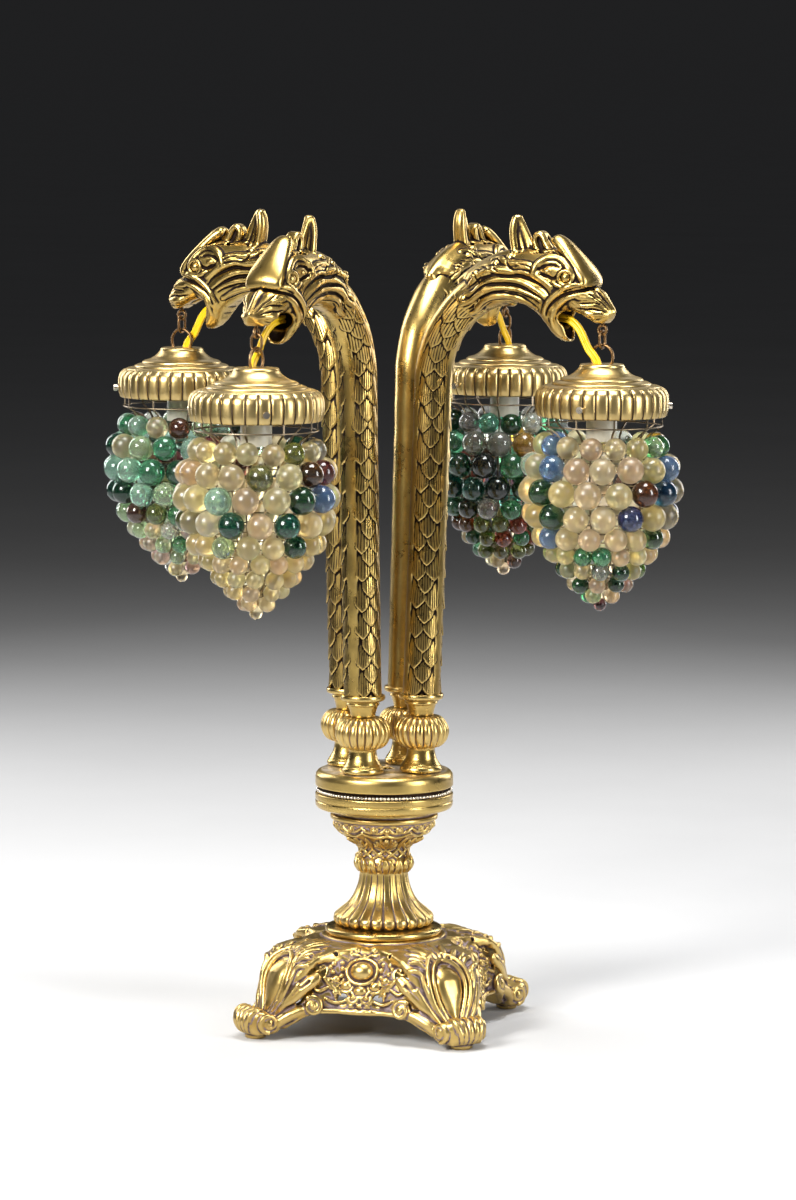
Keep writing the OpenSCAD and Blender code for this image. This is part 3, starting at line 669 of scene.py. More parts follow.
def head_mesh(h=0.6):
    g = Field((60, 0, 500), (202, 23, 621), h)
    U, V, Z = np.broadcast_arrays(g.ax[0][:, None, None], g.ax[1][None, :, None], g.ax[2][None, None, :])
    U2, Z2 = U[:, 0, :], Z[:, 0, :]
    S2 = poly_sdf(U2, Z2, HEAD_SIDE)
    wu = lerp_tab(U2, [(60, 14), (74, 14.8), (84, 15.4), (100, 15.8), (120, 16), (140, 17.2), (156, 17.2), (166, 16), (174, 14.4), (182, 12.2), (188, 8.6), (193.5, 4.2)])
    low = np.clip((Z2 - 525) / 18, 0, 1)
    jaw = np.clip((U2 - 130) / 12, 0, 1) * np.clip((162 - U2) / 2, 0, 1) * np.clip((550 - Z2) / 12, 0, 1)
    jaw = jaw * jaw * (3 - 2 * jaw)
    wu = wu * (1 - jaw) + np.minimum(wu, 8.2 + 7.4 * low) * jaw
    high = np.clip((Z2 - 580) / 12, 0, 1)
    wu = wu - 3.0 * high
    R = lerp_tab(U2, [(60, 12), (100, 13), (140, 13), (160, 12), (172, 9), (180, 5.5), (195, 3.2)])
    R = R * (1 - jaw) + 6.5 * jaw
    s, q = (S2 + R)[:, None, :], V - wu[:, None, :] + R[:, None, :]
    Rb = R[:, None, :]
    body = np.sqrt(np.maximum(s, 0) ** 2 + np.maximum(q, 0) ** 2) + np.minimum(np.maximum(s, q), 0) - Rb
    # the arm's tube under the mane
    ru = np.hypot(U - 115.95, Z - 490.23) - 75
    ang = np.degrees(np.arctan2(Z - 490.23, U - 115.95))
    sleeve = np.maximum(np.hypot(ru, V) - 14.35, np.maximum((ang - 128) * 0.9, (104 - ang) * 0.9))
    body = smin(body, sleeve, 2.0)
    g.D[...] = np.minimum(body, 50)

    def on(pts, off=0.0):
        """(u, z) points moved sideways onto the skin."""
        out = []
        for p in spline([(a, 0, b) for a, b in pts], 1.0):
            vs = np.arange(0, 22, 0.4)
            d = g.at(np.stack([np.full(len(vs), p[0]), vs, np.full(len(vs), p[2])], 1))
            k = np.nonzero(d < 0)[0]
            v = vs[k[-1]] + 0.2 if len(k) else 0.0
            out.append((p[0], max(v + off, 0.0), p[2]))
        P = np.array(out)
        if len(P) > 4:
            for _ in range(3):
                P[1:-1, 1] = (P[:-2, 1] + 2 * P[1:-1, 1] + P[2:, 1]) / 4
        return P

    def line(pts, r, off, k, cut=False, taper=(1.0, 1.0), **kw):
        P = on(pts, off)
        t = np.linspace(0, 1, len(P))
        rr = r * np.interp(t, [0, 0.18, 0.8, 1], [taper[0], 1, 1, taper[1]])
        g.chain(P, rr, k, cut, **kw)

    # crest along the neck
    g.chain([(66, 0, 565.5), (72, 0, 569), (80, 0, 573.4), (90, 0, 578), (101, 0, 582), (110, 0, 584)], [4.2, 5.2, 6, 6.6, 6.8, 6.5], 3.0, step=1.5)
    # locks of the mane, as long ridges down the side
    line([(76, 556), (84, 558), (91, 563), (99, 567), (108, 568.6), (118, 568.2), (128, 566), (137, 561.5), (144, 556.5)], 3.1, -0.7, 1.6, taper=(0.5, 0.5))
    line([(72, 549), (78, 551.5), (86, 556), (94, 560), (103, 562), (113, 562.2), (123, 561), (132, 558.6), (140, 555)], 2.7, -0.5, 1.4, taper=(0.6, 0.5))
    line([(74, 541), (81, 544), (88, 549.5), (95, 554), (103, 556.4), (112, 556.6), (121, 555), (129, 552), (136, 548)], 2.4, -0.5, 1.2, taper=(0.6, 0.5))
    line([(83, 569), (92, 573), (100, 575.4), (108, 575.6), (116, 575), (125, 575.8), (134, 573.4), (142, 569.4), (149, 564)], 3.0, -0.7, 1.6, taper=(0.7, 0.5))
    line([(96, 583), (103, 583.6), (109, 581.4), (115, 580.6), (124, 580.4), (132, 578.6), (139, 574)], 2.4, -0.6, 1.4, taper=(0.6, 0.5))
    # curled ends of the locks
    for c in ((84, 571.5), (101, 579.6), (112, 584.6), (74, 553)):
        p = on([c, (c[0] + 0.5, c[1])], -1.6)[0]
        g.ball(p, 3.4, 1.2)
    # grooves between them
    for pts, r in (([(74, 552), (80, 554.6), (86, 559), (92, 563), (98, 564.6), (105, 565.2), (113, 565.4), (120, 565), (126, 563.2), (132, 560.8), (138, 557.6), (143, 554.6)], 1.35),
                   ([(73, 544), (80, 547), (86, 552), (91, 555.4), (96, 557.4), (101, 559), (108, 559.8), (115, 559.6), (122, 558.6), (128, 557), (134, 555), (139, 552.4)], 1.05),
                   ([(84, 544), (91, 549), (98, 552.6), (106, 553.6), (114, 553.4), (122, 551.8), (130, 548.6)], 0.9),
                   ([(98, 573.4), (103, 571.8), (108, 571.2), (115, 571), (122, 571.8), (128, 570.6), (134, 568.4), (140, 565.4), (145, 562), (148.5, 557.5)], 1.25),
                   ([(96, 578.6), (100, 579.6), (102, 575.8), (106, 573.6)], 0.9), ([(107, 583.6), (111, 582.8), (113, 579), (117, 576.6), (125, 576.4), (132, 575), (138, 571)], 1.1),
                   ([(80, 573.4), (84.6, 571.4), (86, 567.8), (89.5, 565.2)], 0.95), ([(88, 577.6), (94, 576.6), (99, 575.6)], 0.7),
                   ([(101, 584.4), (106, 580.4)], 0.7), ([(121, 580.6), (129, 579.4), (136, 576.4)], 0.8),
                   ([(76, 560.5), (84, 565), (90, 570)], 0.8), ([(71, 560), (77, 566), (84, 571)], 0.7)):
        line(pts, r, 0.15, 0.5, cut=True, taper=(0.45, 0.45))

    # tall horn: thick behind, drawn out to a thin edge in front, its sides hollow
    back = [(113.4, 0, 583), (111.6, 0, 590), (110.2, 0, 597), (109.6, 0, 603), (110.0, 0, 608.6), (110.9, 0, 612.6)]
    for w in (0.0, 0.5, 1.0):
        g.chain([(x, 2.5 * w * (1 - i * 0.07), z) for i, (x, y, z) in enumerate(back)], [3.6, 3.4, 3.3, 3.3, 3.1, 2.6], 1.2, step=1.2)
    for f, r in ((0.4, 2.7), (0.75, 2.2), (1.0, 1.7)):
        front = [(128.6, 0, 585), (126.0, 0, 590.5), (122.8, 0, 597), (119.4, 0, 603.6), (116.4, 0, 609.4), (113.8, 0, 613.2)]
        g.chain([(x0 + (x1 - x0) * f, 0, z0 + (z1 - z0) * f) for (x0, _, z0), (x1, _, z1) in zip(back, front)], [r + 0.8, r + 0.3, r, r, r, r * 0.9], 1.6, step=1.2)
    g.chain([(117.6, 7.2, 584), (116.4, 6.2, 591), (115.4, 5.4, 598), (114.6, 4.7, 604), (114.0, 4.2, 609.6)], [2.2, 2.1, 1.8, 1.5, 1.0], 0.7, cut=True, step=1.0)
    g.chain([(121.5, 6.6, 584.6), (119.6, 4.8, 592), (117.6, 4.0, 600), (115.6, 3.6, 607)], [2.1, 1.9, 1.6, 1.1], 0.7, cut=True, step=1.0)
    g.chain([(107, 4, 590.6), (111, 8.4, 586.6), (117, 10.4, 583.8), (124, 10.6, 582.4), (131, 10.2, 583.4)], [0.9, 1.2, 1.2, 1.0, 0.6], 0.5, cut=True, step=1.0)
    # short horn behind the brow: a rim round a hollow
    loop = [(134, 0, 584.6), (130.6, 0, 590), (128.2, 0, 596), (128.8, 0, 600.2), (132, 0, 602), (135, 0, 599.4), (137.6, 0, 594.6), (140.4, 0, 590)]
    for w in (0.0, 0.5, 1.0):
        g.chain([(x, 3.0 * w, z) for x, _, z in loop], [2.8, 2.6, 2.4, 2.3, 2.3, 2.3, 2.6, 2.8], 1.0, step=1.1)
    g.chain([(135.6, 0, 586), (132.6, 0, 593), (131.8, 0, 598)], [4.4, 3.6, 2.6], 1.0, step=1.2)
    g.chain([(137.0, 6.6, 586.6), (133.8, 5.9, 592), (132.0, 5.2, 597.6)], [2.0, 1.8, 1.3], 0.6, cut=True, step=1.0)
    g.chain([(143, 8.6, 588.4), (137.6, 9.2, 588.6), (131, 8.8, 587.8), (126.5, 7.4, 587.6)], [1.1, 1.2, 1.0, 0.7], 0.6, cut=True, step=1.0)

    # brow plate: wide, smooth, standing off the forehead
    axis = spline([(146.4, 0, 598.6, 2.9, 4.0), (151, 0, 595.6, 3.3, 5.4), (157, 0, 590, 3.6, 7.2), (163.6, 0, 583.2, 3.8, 9.2), (170, 0, 576, 3.8, 11.0), (174, 0, 570, 3.5, 11.6), (174.8, 0, 566.2, 2.4, 11.0)], 1.6)
    for p, p2 in zip(axis[:-1], axis[1:]):
        for w in (0.0, 0.17, 0.34, 0.5, 0.67, 0.83, 1.0):
            # the plate bows back towards its sides
            back = 1.6 * w * w
            a = (p[0] - back * 0.7, p[4] * w, p[2] - back * 0.7)
            b = (p2[0] - back * 0.7, p2[4] * w, p2[2] - back * 0.7)
            g.chain([a, b], [p[3] * (1 - 0.16 * w * w), p2[3] * (1 - 0.16 * w * w)], 1.2)
    # gap behind the plate's upper end
    g.chain([(139.6, 0, 599.5), (143.6, 0, 594.6), (147.6, 0, 590.6)], [2.6, 2.0, 0.9], 0.8, cut=True, step=1.0)
    g.chain([(139.6, 6, 598), (144.6, 7.4, 591.6), (152, 10.2, 584.6), (160, 12.6, 577.4), (166, 13.6, 570.4), (168, 13.6, 565)], [2.2, 1.5, 1.2, 1.1, 1.2, 1.0], 0.9, cut=True, step=1.0)
    # notch between the plate's lower end and the muzzle
    g.chain([(182.5, 0, 565.2), (177.4, 3, 563.4), (176, 8, 563), (174.5, 13, 562.4), (172, 17, 561)], [1.9, 1.5, 1.4, 1.3, 1.2], 0.7, cut=True, step=1.0)

    # brow ridge over the eye, and its shadow
    line([(134.5, 574.5), (137.5, 580.5), (143, 584.6), (149, 585.6), (155, 584), (160.5, 579.6), (165.5, 573.4), (168, 567.2)], 2.5, -0.3, 1.3, taper=(0.6, 0.6))
    line([(139.5, 577), (144.5, 579.8), (150, 580.6), (155.5, 579)], 1.7, 0.3, 0.7, cut=True, taper=(0.5, 0.4))
    line([(141, 573.2), (145.6, 572), (150.4, 570.4), (154.6, 572.6)], 1.5, 0.2, 0.8, cut=True, taper=(0.5, 0.6))
    p = on([(145.6, 575.6), (146.2, 575.6)], -0.6)[0]
    g.ball(p, (3.4, 2.2, 1.7), 0.9)
    # eye: socket, ball and lid ring
    e = on([(160.6, 571.2), (161, 571.2)], 0)[0]
    g.ball((e[0], e[1] + 0.8, e[2]), (5.6, 3.4, 5.4), 0.8, cut=True)
    ring = [(e[0] + 5.5 * math.cos(t), e[1] - 0.1 - 0.06 * 5.5 * math.cos(t) * 2, e[2] + 5.1 * math.sin(t)) for t in np.linspace(0, 2 * math.pi, 25)]
    g.chain(ring, 1.25, 0.6)
    g.ball((e[0] - 0.2, e[1] - 2.0, e[2]), (3.9, 3.6, 3.9), 0.3)
    line([(150, 568), (154.6, 565.4), (160, 564), (165.4, 565)], 1.5, -0.2, 1.0, taper=(0.6, 0.6))

    # cheek edge, then the deep line behind the lips
    line([(177, 559), (170, 558.6), (163, 557), (156.6, 553), (151.4, 547.6), (149, 541.6), (148.6, 535)], 2.2, -0.9, 1.2, taper=(0.7, 0.6))
    line([(181.6, 563), (176, 562.2), (168, 561.2), (160, 558.8), (153.4, 555), (149, 551), (146, 546.8), (144.6, 543)], 1.35, 0.2, 0.5, cut=True, taper=(0.6, 0.7))
    line([(174, 566.4), (166, 565.4), (158, 562.2), (150.6, 557.2), (145.4, 551.2), (142.4, 544.6)], 1.7, -0.3, 1.2, taper=(0.6, 0.7))
    # mouth
    g.ball((153.5, 0, 541.6), (9.4, 11.4, 8.0), 1.2, cut=True)
    g.chain([(155, 0, 541), (155.4, 0, 535.6), (156.8, 0, 531), (159.4, 0, 527.6)], [6.4, 5.4, 4.4, 3.4], 1.0, cut=True, step=1.2, flat=((0, 1, 0), 0.62))
    g.chain([(158, 0, 545), (165, 0, 543.4), (172, 0, 540.2)], [6.0, 5.4, 3.0], 1.2, cut=True, step=1.2)
    g.chain([(157.0, 8, 541.2), (158.0, 14, 541.0), (158.4, 22, 541.0)], [5.0, 4.4, 4.4], 1.0, cut=True, step=1.2)
    # muzzle: side lines, nostril wings and the tip
    line([(171, 552.4), (177, 552.8), (183, 553), (188, 551)], 0.8, 0.1, 0.5, cut=True, taper=(0.4, 0.4))
    line([(168, 549), (175, 548.4), (182, 548.6), (189.4, 546.6)], 1.0, 0.1, 0.6, cut=True, taper=(0.4, 0.4))
    line([(170, 556.6), (178, 556.8), (184, 555.4)], 1.6, -0.7, 1.2, taper=(0.5, 0.4))
    line([(173, 545.6), (179, 545), (186, 545), (190, 544)], 1.9, -0.8, 1.2, taper=(0.5, 0.5))
    # ridge of the beak, and the notches of the upper lip
    g.chain([(178.6, 0, 560.6), (184, 0, 556.2), (189, 0, 550.8), (192.4, 0, 546.6)], [3.4, 2.8, 2.2, 1.5], 1.6, step=1.2)
    line([(176, 561), (182, 557.6), (187.6, 552.4), (190.8, 548.4)], 0.8, 0.15, 0.5, cut=True, taper=(0.4, 0.4))
    line([(175, 541.4), (181, 540.4), (186.6, 541.4)], 0.7, 0.1, 0.4, cut=True, taper=(0.5, 0.5))
    # wire way of the eye's shank stays solid; hair lines on the crown
    for c0, c1 in (((120, 588), (112, 585.4)), ((141, 588), (150, 587)), ((104, 585.6), (97, 583))):
        g.chain([(c0[0], 5.6, c0[1]), (c1[0], 6.6, c1[1])], [0.8, 0.5], 0.4, cut=True)

    full = mirror_half(g.D)
    Vx, F = surface_nets(full)
    nv = g.D.shape[1]
    P = np.stack([g.ax[0][0] + Vx[:, 0] * h, (Vx[:, 1] - (nv - 1)) * h, g.ax[2][0] + Vx[:, 2] * h], 1)
    P = smooth_pts(P, edges_of(F), 2, 0.45)
    return P, F


# ------------------------------------------------------------------ scaled arm tube (arm frame)
def arm_mesh(ds=0.65, n=150, seed=11):
    rng = np.random.default_rng(seed)
    p0, p1, c, R = np.array([32.05, 250.6]), np.array([41.0, 493.0]), np.array([115.95, 490.23]), 75.0
    L1 = np.linalg.norm(p1 - p0)
    a0, a1 = math.radians(177.88), math.radians(112)
    L = L1 + (a0 - a1) * R
    s = np.linspace(0, L, int(L / ds))
    d = (p1 - p0) / L1
    straight = s <= L1
    a = a0 - np.maximum(s - L1, 0) / R
    P = np.where(straight[:, None], p0 + d * s[:, None], c + R * np.stack([np.cos(a), np.sin(a)], 1))
    out = np.where(straight[:, None], [[-d[1], d[0]]], np.stack([np.cos(a), np.sin(a)], 1))
    th = 2 * math.pi * np.arange(n) / n
    fold = np.degrees(np.where(th > math.pi, 2 * math.pi - th, th))
    Sg, Fg = np.meshgrid(s, fold, indexing="ij")
    side = np.where(th > math.pi, 1, 0)
    rr = 13.6
    deep = 12.75
    # the two smooth strips, and the flank between them
    wob = 0.10 * np.sin(Sg * 0.21) + 0.08 * np.sin(Sg * 0.083 + 1)
    spine = np.clip((72.5 + 1.6 * np.sin(Sg * 0.26) - Fg) / 2.4, 0, 1)
    belly = np.clip((Fg - 159.5 + 1.5 * np.sin(Sg * 0.26 + 1.2)) / 2.4, 0, 1)
    sm = lambda t: t * t * (3 - 2 * t)
    H = np.maximum(sm(spine), sm(belly)) * (14.0 + wob - deep)
    G = np.zeros_like(H)
    cols = [93.0, 119.8, 146.6]
    for flank in (0, 1):
        on = side == flank
        for ci, tc in enumerate(cols):
            k = 0
            while True:
                tip = 3.0 + (11.0 if ci == 1 else 0.0) + 22.0 * k
                k += 1
                if tip > L - 4:
                    break
                tip += rng.uniform(-1.1, 1.1)
                wmax = 6.9 * rng.uniform(0.93, 1.06)
                hh = 1.75 * rng.uniform(0.85, 1.1)
                skew = rng.uniform(-0.06, 0.06)
                i0, i1 = np.searchsorted(s, tip - 0.5), np.searchsorted(s, tip + 27)
                b = Sg[i0:i1] - tip
                w = (Fg[i0:i1] - tc - rng.uniform(-1.5, 1.5)) * math.pi / 180 * rr + skew * b
                bb = np.clip(b / 9.5, 0, 1)
                half = wmax * np.sin(bb * math.pi / 2) ** 0.92
                half = half * np.clip(1 - np.maximum(b - 16, 0) * 0.03, 0.5, 1)
                e = np.minimum(half - np.abs(w), b * 1.2)
                bev = np.clip(e / 0.85, 0, 1)
                bev = bev * bev * (3 - 2 * bev)
                h = hh * np.clip(1 - b / 27.0, 0, 1) ** 0.9 + 0.42 * (1 - np.clip(w / wmax, -1, 1) ** 2) * np.clip(1 - b / 30, 0, 1)
                h = h + 0.24 * np.sin(w * (3.4 + 0.5 * math.sin(k * 7.1)) + rng.uniform(0, 6) + 0.12 * b) * np.clip(b / 3, 0, 1) * np.clip(1 - b / 22, 0, 1)
                h = h * bev * on[None, :]
                G[i0:i1] = np.maximum(G[i0:i1], h)
    H = np.maximum(H, G)
    # crest towards the head
    grow = sm(np.clip((Sg - (L - 38)) / 34, 0, 1)) * np.clip(1 - Fg / 60, 0, 1)
    H = H + 1.6 * grow
    r = deep + H
    V = np.zeros(Sg.shape + (3,))
    co, si = np.cos(th)[None, :], np.sin(th)[None, :]
    V[..., 0] = P[:, None, 0] + out[:, None, 0] * r * co
    V[..., 2] = P[:, None, 1] + out[:, None, 1] * r * co
    V[..., 1] = -r * si
    m = len(s)
    i = np.arange(m - 1)[:, None]
    j = np.arange(n)[None, :]
    F = np.stack([i * n + j, i * n + (j + 1) % n, (i + 1) * n + (j + 1) % n, (i + 1) * n + j], 2).reshape(-1, 4)
    V = V.reshape(-1, 3)
    V = np.vstack([V, [P[0, 0], 0, P[0, 1]], [P[-1, 0], 0, P[-1, 1]]])
    k = len(V) - 2
    j = np.arange(n)
    F = np.vstack([F, np.stack([(j + 1) % n, j, np.full(n, k), np.full(n, k)], 1),
                   np.stack([(m - 1) * n + j, (m - 1) * n + (j + 1) % n, np.full(n, k + 1), np.full(n, k + 1)], 1)])
    along = np.zeros((len(V), 3))
    along[:-2, 0] = (Fg.ravel() * math.pi / 180 * rr)
    along[:-2, 1] = Sg.ravel()
    along[:-2, 2] = (G > 0.02).ravel()
    return V, F, along


# ------------------------------------------------------------------ pierced base (leg at angle 0, panel at 45 degrees)
def curl(cx, cy, r0, r1, a0, turns, n=26):
    """Flat spiral from radius r0 to r1, starting at angle a0 (degrees)."""
    t = np.linspace(0, 1, n)
    a = math.radians(a0) + turns * 2 * math.pi * t
    r = r0 + (r1 - r0) * t ** 0.85
    return np.stack([cx + r * np.cos(a), cy + r * np.sin(a)], 1)


def base_mesh(h=0.85, n_half=98, turn=62.0):
    Fd = Field((36, 0, -0.2), (130.2, math.pi / 4, 76.0), h, polar=True, n_phi=n_half)
    R, A, Z = Fd.ax[0][:, None, None], Fd.ax[1][None, :, None], Fd.ax[2][None, None, :]
    X, Y = R * np.cos(A), R * np.sin(A)
    Z = Z + 0 * X
    X, Y = X + 0 * Z, Y + 0 * Z
    RR, ZZ = np.broadcast_arrays(Fd.ax[0][:, None], Fd.ax[2][None, :])
    shell = poly_sdf(RR, ZZ, [
        [20, 62], [52, 62], [57.5, 57.5], [63.5, 49.5], [68.5, 40], [72, 31], [74, 22], [75, 20.3],
        [77, 20.3], [77.2, 24], [75.6, 32], [72.2, 42], [67.2, 52], [60.7, 60], [54, 65], [46, 67], [46, 69], [20, 69]])[:, None, :]
    side = poly_sdf(X, Z, [[40, 66], [60, 66], [76, 63], [86, 57.6], [92, 48.6], [95.6, 38], [98.2, 27], [102, 18],
                           [104, 6], [97, 9], [93, 22], [91, 36], [87, 45], [81, 53], [72, 58], [58, 60.5], [40, 60]])
    toe = np.sqrt(((X - 114.4) / 1.05) ** 2 + ((Z - 12.6) * 1.04) ** 2 + (Y * 0.36) ** 2) - 10.6
    heel = poly_sdf(X, Z, [[103, 3.4], [119, 3.4], [119, 14], [103, 17]])
    side = smin(smin(side, toe, 6.0), heel, 2.5)
    front = poly_sdf(Y, Z, [[-31, 70], [-34, 52], [-33, 34], [-30.5, 25], [-24.5, 20.4], [-17, 12.4], [-13, 3.2], [13, 3.2],
                            [17, 12.4], [24.5, 20.4], [30.5, 25], [33, 34], [34, 52], [31, 70]])
    plan = poly_sdf(X, Y, [[30, -34], [74, -34], [86, -29], [95, -23], [103, -19], [112, -18], [119, -15], [124, -10], [126.5, -4],
                           [126.5, 4], [124, 10], [119, 15], [112, 18], [103, 19], [95, 23], [86, 29], [74, 34], [30, 34]])
    leg = -smin(-side, -front, 2.2)
    leg = -smin(-leg, -plan, 3.0)
    # the skirt runs out from the panels to the legs
    RX = np.hypot(X, Y)
    deg = np.degrees(np.arctan2(Y, X))

    def grown(z, dg):
        """How far the skirt stands out beyond the plain panel."""
        g = np.clip((36.0 - dg) / 16.0, 0, 1)
        foot = 7.5 * np.clip((25.0 - dg) / 8.0, 0, 1) * np.interp(z, [14, 21, 30, 40], [1.0, 1.0, 0.45, 0.0])
        return np.interp(z, [14, 20, 28, 40, 52, 62, 67], [10.0, 9.0, 10.0, 12.0, 13.0, 10.0, 3.0]) * g * g * (3 - 2 * g) + foot

    r_out = np.interp(Z, [14, 20, 24, 32, 42, 52, 60, 65, 67], [78, 77.2, 77.2, 75.6, 72.2, 67.2, 60.7, 54, 46]) + grown(Z, deg)
    r_bot = np.interp(deg, [6, 10, 14, 18, 22, 26, 32, 45], [7, 9, 12.5, 17, 20.2, 21.2, 21.0, 20.3])
    skirt = np.maximum(np.maximum((RX - r_out) * 0.86, r_out - 12.0 - RX), np.maximum(r_bot - Z, Z - 66.4))
    D = smin(smin(shell + 0 * X, skirt, 1.5), leg, 7.5)
    # hollow below
    r_in = poly_sdf(RR, ZZ, [[0, -9], [72.5, -9], [72.5, 18], [69.8, 31], [65.8, 41], [59.8, 50], [53.2, 56.5], [46, 60.6], [0, 60.6]])[:, None, :]
    hollow = poly_sdf(X, Z, [[30, -9], [93, -9], [92.5, 22], [90.5, 36], [86.5, 45], [80.5, 52.5], [71, 57.5], [30, 59.8]])
    hol2 = poly_sdf(Y, Z, [[-25, -9], [-25, 22], [-28, 34], [-28, 50], [-24, 62], [24, 62], [28, 50], [28, 34], [25, 22], [25, -9]])
    inner = np.minimum(r_in + 0 * X, np.maximum(np.maximum(hollow, hol2), plan + 4.5))
    inner = np.minimum(inner, np.maximum(RX - (r_out - 5.0), Z - 50.0))
    D = -smin(-D, inner, 1.0)
    block = np.maximum(np.hypot((X - 112.0), Y * 0.95) - 7.8, np.maximum(-Z, Z - 8))
    D = smin(D, block, 1.0)
    Fd.D = D.astype(np.float32)

    top = [(103.5, 15), (101.6, 18.5), (98.4, 27), (95.8, 38), (92.2, 48.4), (86.2, 57.4), (76.2, 62.8), (60, 65.8), (52, 66.4)]
    plan_x = lambda v: np.interp(np.abs(v), [0, 10, 15, 18, 19, 23, 29, 34, 40], [126, 124, 119, 112, 103, 95, 86, 74, 66])

    def leg_pt(v, z, lift=0.0):
        """A point on the leg's front. Above z 62 the height runs on along the shoulder."""
        if z <= 62:
            x = np.interp(z, [p[1] for p in top[:6]] + [62.0], [p[0] for p in top[:6]] + [78.5])
            zz = z
        else:
            x = 78.5 - (z - 62) * 3.2
            zz = np.interp(x, [52, 60, 76.2, 78.5], [66.4, 65.8, 62.8, 62.0])
        s = np.interp(z, [15, 30, 48, 56, 62, 70], [0, 0.02, 0.25, 0.6, 0.9, 1.0])
        xp = plan_x(v) - 0.5
        x = float(smin(x, xp, 5.0)) if z <= 62 else x
        return np.array([x + lift * math.cos(s * math.pi / 2), v, zz + lift * math.sin(s * math.pi / 2)])

    prof = np.array([[77.2, 20.5], [77.2, 24], [75.6, 32], [72.2, 42], [67.2, 52], [60.7, 60], [54, 65], [46, 67]])
    ps = np.concatenate([[0], np.cumsum(np.linalg.norm(np.diff(prof, axis=0), axis=1))])
    s_of_z = lambda z: np.interp(z, prof[:, 1], ps)
    c45 = math.sqrt(0.5)

    def pan_on(w, s):
        r, z = np.interp(s, ps, prof[:, 0]), np.interp(s, ps, prof[:, 1])
        a = math.pi / 4 - w / max(r, 40.0)
        r = r + float(grown(z, math.degrees(a)))
        return np.array([r * math.cos(a), r * math.sin(a), z])

    def pan_pt(w, s, lift=0.0):
        """A point on the side panel: w across from its middle, s up along its face from the arch."""
        p = pan_on(w, s)
        n = np.cross(pan_on(w + 0.8, s) - pan_on(w - 0.8, s), pan_on(w, s + 0.8) - pan_on(w, s - 0.8))
        n = n / max(np.linalg.norm(n), 1e-9)
        if n[0] * p[0] + n[1] * p[1] < 0:
            n = -n
        return p + n * lift

    L = lambda pts, lift=0.0: np.array([leg_pt(p[0], p[1], (p[2] if len(p) > 2 else 0) + lift) for p in pts])
    Q = lambda pts, lift=0.0: np.array([pan_pt(p[0], p[1], (p[2] if len(p) > 2 else 0) + lift) for p in pts])
    ch = Fd.chain

    # pierced holes
    holes = ((26.4, 52.0, 3.9), (13.4, 31.6, 4.1), (29.5, 40.5, 1.8), (19.6, 61.0, 1.7))
    for w, z, r in holes:
        p = pan_pt(w, s_of_z(z))
        d = pan_pt(w, s_of_z(z), 1.0) - p
        q = np.array([p - d * 14, p + d * 8])
        ch(q, r, 0.8, cut=True)
    # shield: dome, two rims, dark line between
    egg = [(0, 57.6), (5.4, 56.4), (9.2, 52.6), (10.9, 47), (10.6, 40.5), (8.8, 33), (6.6, 26.4), (4.4, 20.6), (2.2, 17.6), (0, 16.6)]
    e = poly_sdf(Y, Z, egg + [(-v, z) for v, z in egg[-2:0:-1]])
    xs = np.interp(Z, [p[1] for p in top[:6]] + [62.0], [p[0] for p in top[:6]] + [78.5])
    t = np.clip(-e / 8.0, 0, 1)
    hill = -0.4 + 4.6 * np.sqrt(np.clip(1 - (1 - t) ** 2, 0, 1)) - 0.02 * np.maximum(Z - 50, 0) ** 2
    dome = np.maximum(np.maximum((X - xs - hill) * 0.85, e), xs - 3.5 - X)
    Fd.D = smin(Fd.D, np.where((X > 60) & (Z < 60), dome, 50), 0.9).astype(np.float32)
    out1 = [(0, 60.4), (6.5, 58.6), (11.4, 53.4), (13.3, 46), (12.6, 38), (10.2, 30), (7.0, 22.5), (4.2, 17.2)]
    out2 = [(0, 64.6), (9.2, 62.0), (15.4, 56.0), (17.6, 47), (16.8, 38), (13.8, 29), (10.0, 21.5), (6.6, 16.2)]
    for line, r, k in ((out1, 1.75, 0.8), (out2, 1.55, 0.8)):
        for s_ in (1, -1):
            ch(spline(np.column_stack([L([(v * s_, z) for v, z in line], 1.3), np.full(len(line), r)]), 2.2)[:, :3], r, k)
    for s_ in (1, -1):
        g = [((a[0] + b[0]) / 2 * s_, (a[1] + b[1]) / 2) for a, b in zip(out1, out2)]
        ch(spline(L(g[:6], 2.3), 2.0), 0.85, 0.6, cut=True)
    # fan of ribs between shield and tongue
    fan = [[(10.4, 18.0), (15.0, 27), (18.6, 36), (21.2, 44.5), (22.0, 53)],
           [(12.6, 17.6), (18.0, 26), (22.6, 34), (26.0, 41.5)]]
    for k, ln in enumerate(fan):
        ch(spline(np.column_stack([L(ln, 0.5), np.linspace(0.9, 1.9 - 0.2 * k, len(ln))]), 2.2)[:, :3],
           np.interp(np.arange(len(spline(L(ln, 0.5), 2.2))), [0, len(spline(L(ln, 0.5), 2.2)) - 1], [1.0, 2.1]), 0.7)
        ch(spline(L([(v + 2.1, z - 0.6) for v, z in ln], 1.2), 2.0), 0.75, 0.4, cut=True)
    # leaf tongue with its slot
    tg = [(14.6, 18.6, 0.2), (20.0, 26, 0.5), (25.0, 33, 0.8), (29.0, 40, 1.2), (32.4, 46.5, 1.6)]
    T = spline(L(tg), 1.8)
    rr = np.interp(np.linspace(0, 1, len(T)), [0, 0.3, 0.7, 0.9, 1.0], [1.6, 3.0, 4.7, 5.2, 4.6])
    ch(T, rr, 1.2, flat=((0.86, 0.5, 0.0), 1.7))
    out = np.array([0.86, 0.44, 0.2])
    slot = spline(L([(25.6, 34, 1.2), (28.6, 39.4, 1.6), (31.2, 44, 2.0)]) + out * 3.2, 1.4)
    ch(slot, np.interp(np.linspace(0, 1, len(slot)), [0, 1], [0.8, 1.35]), 0.5, cut=True)
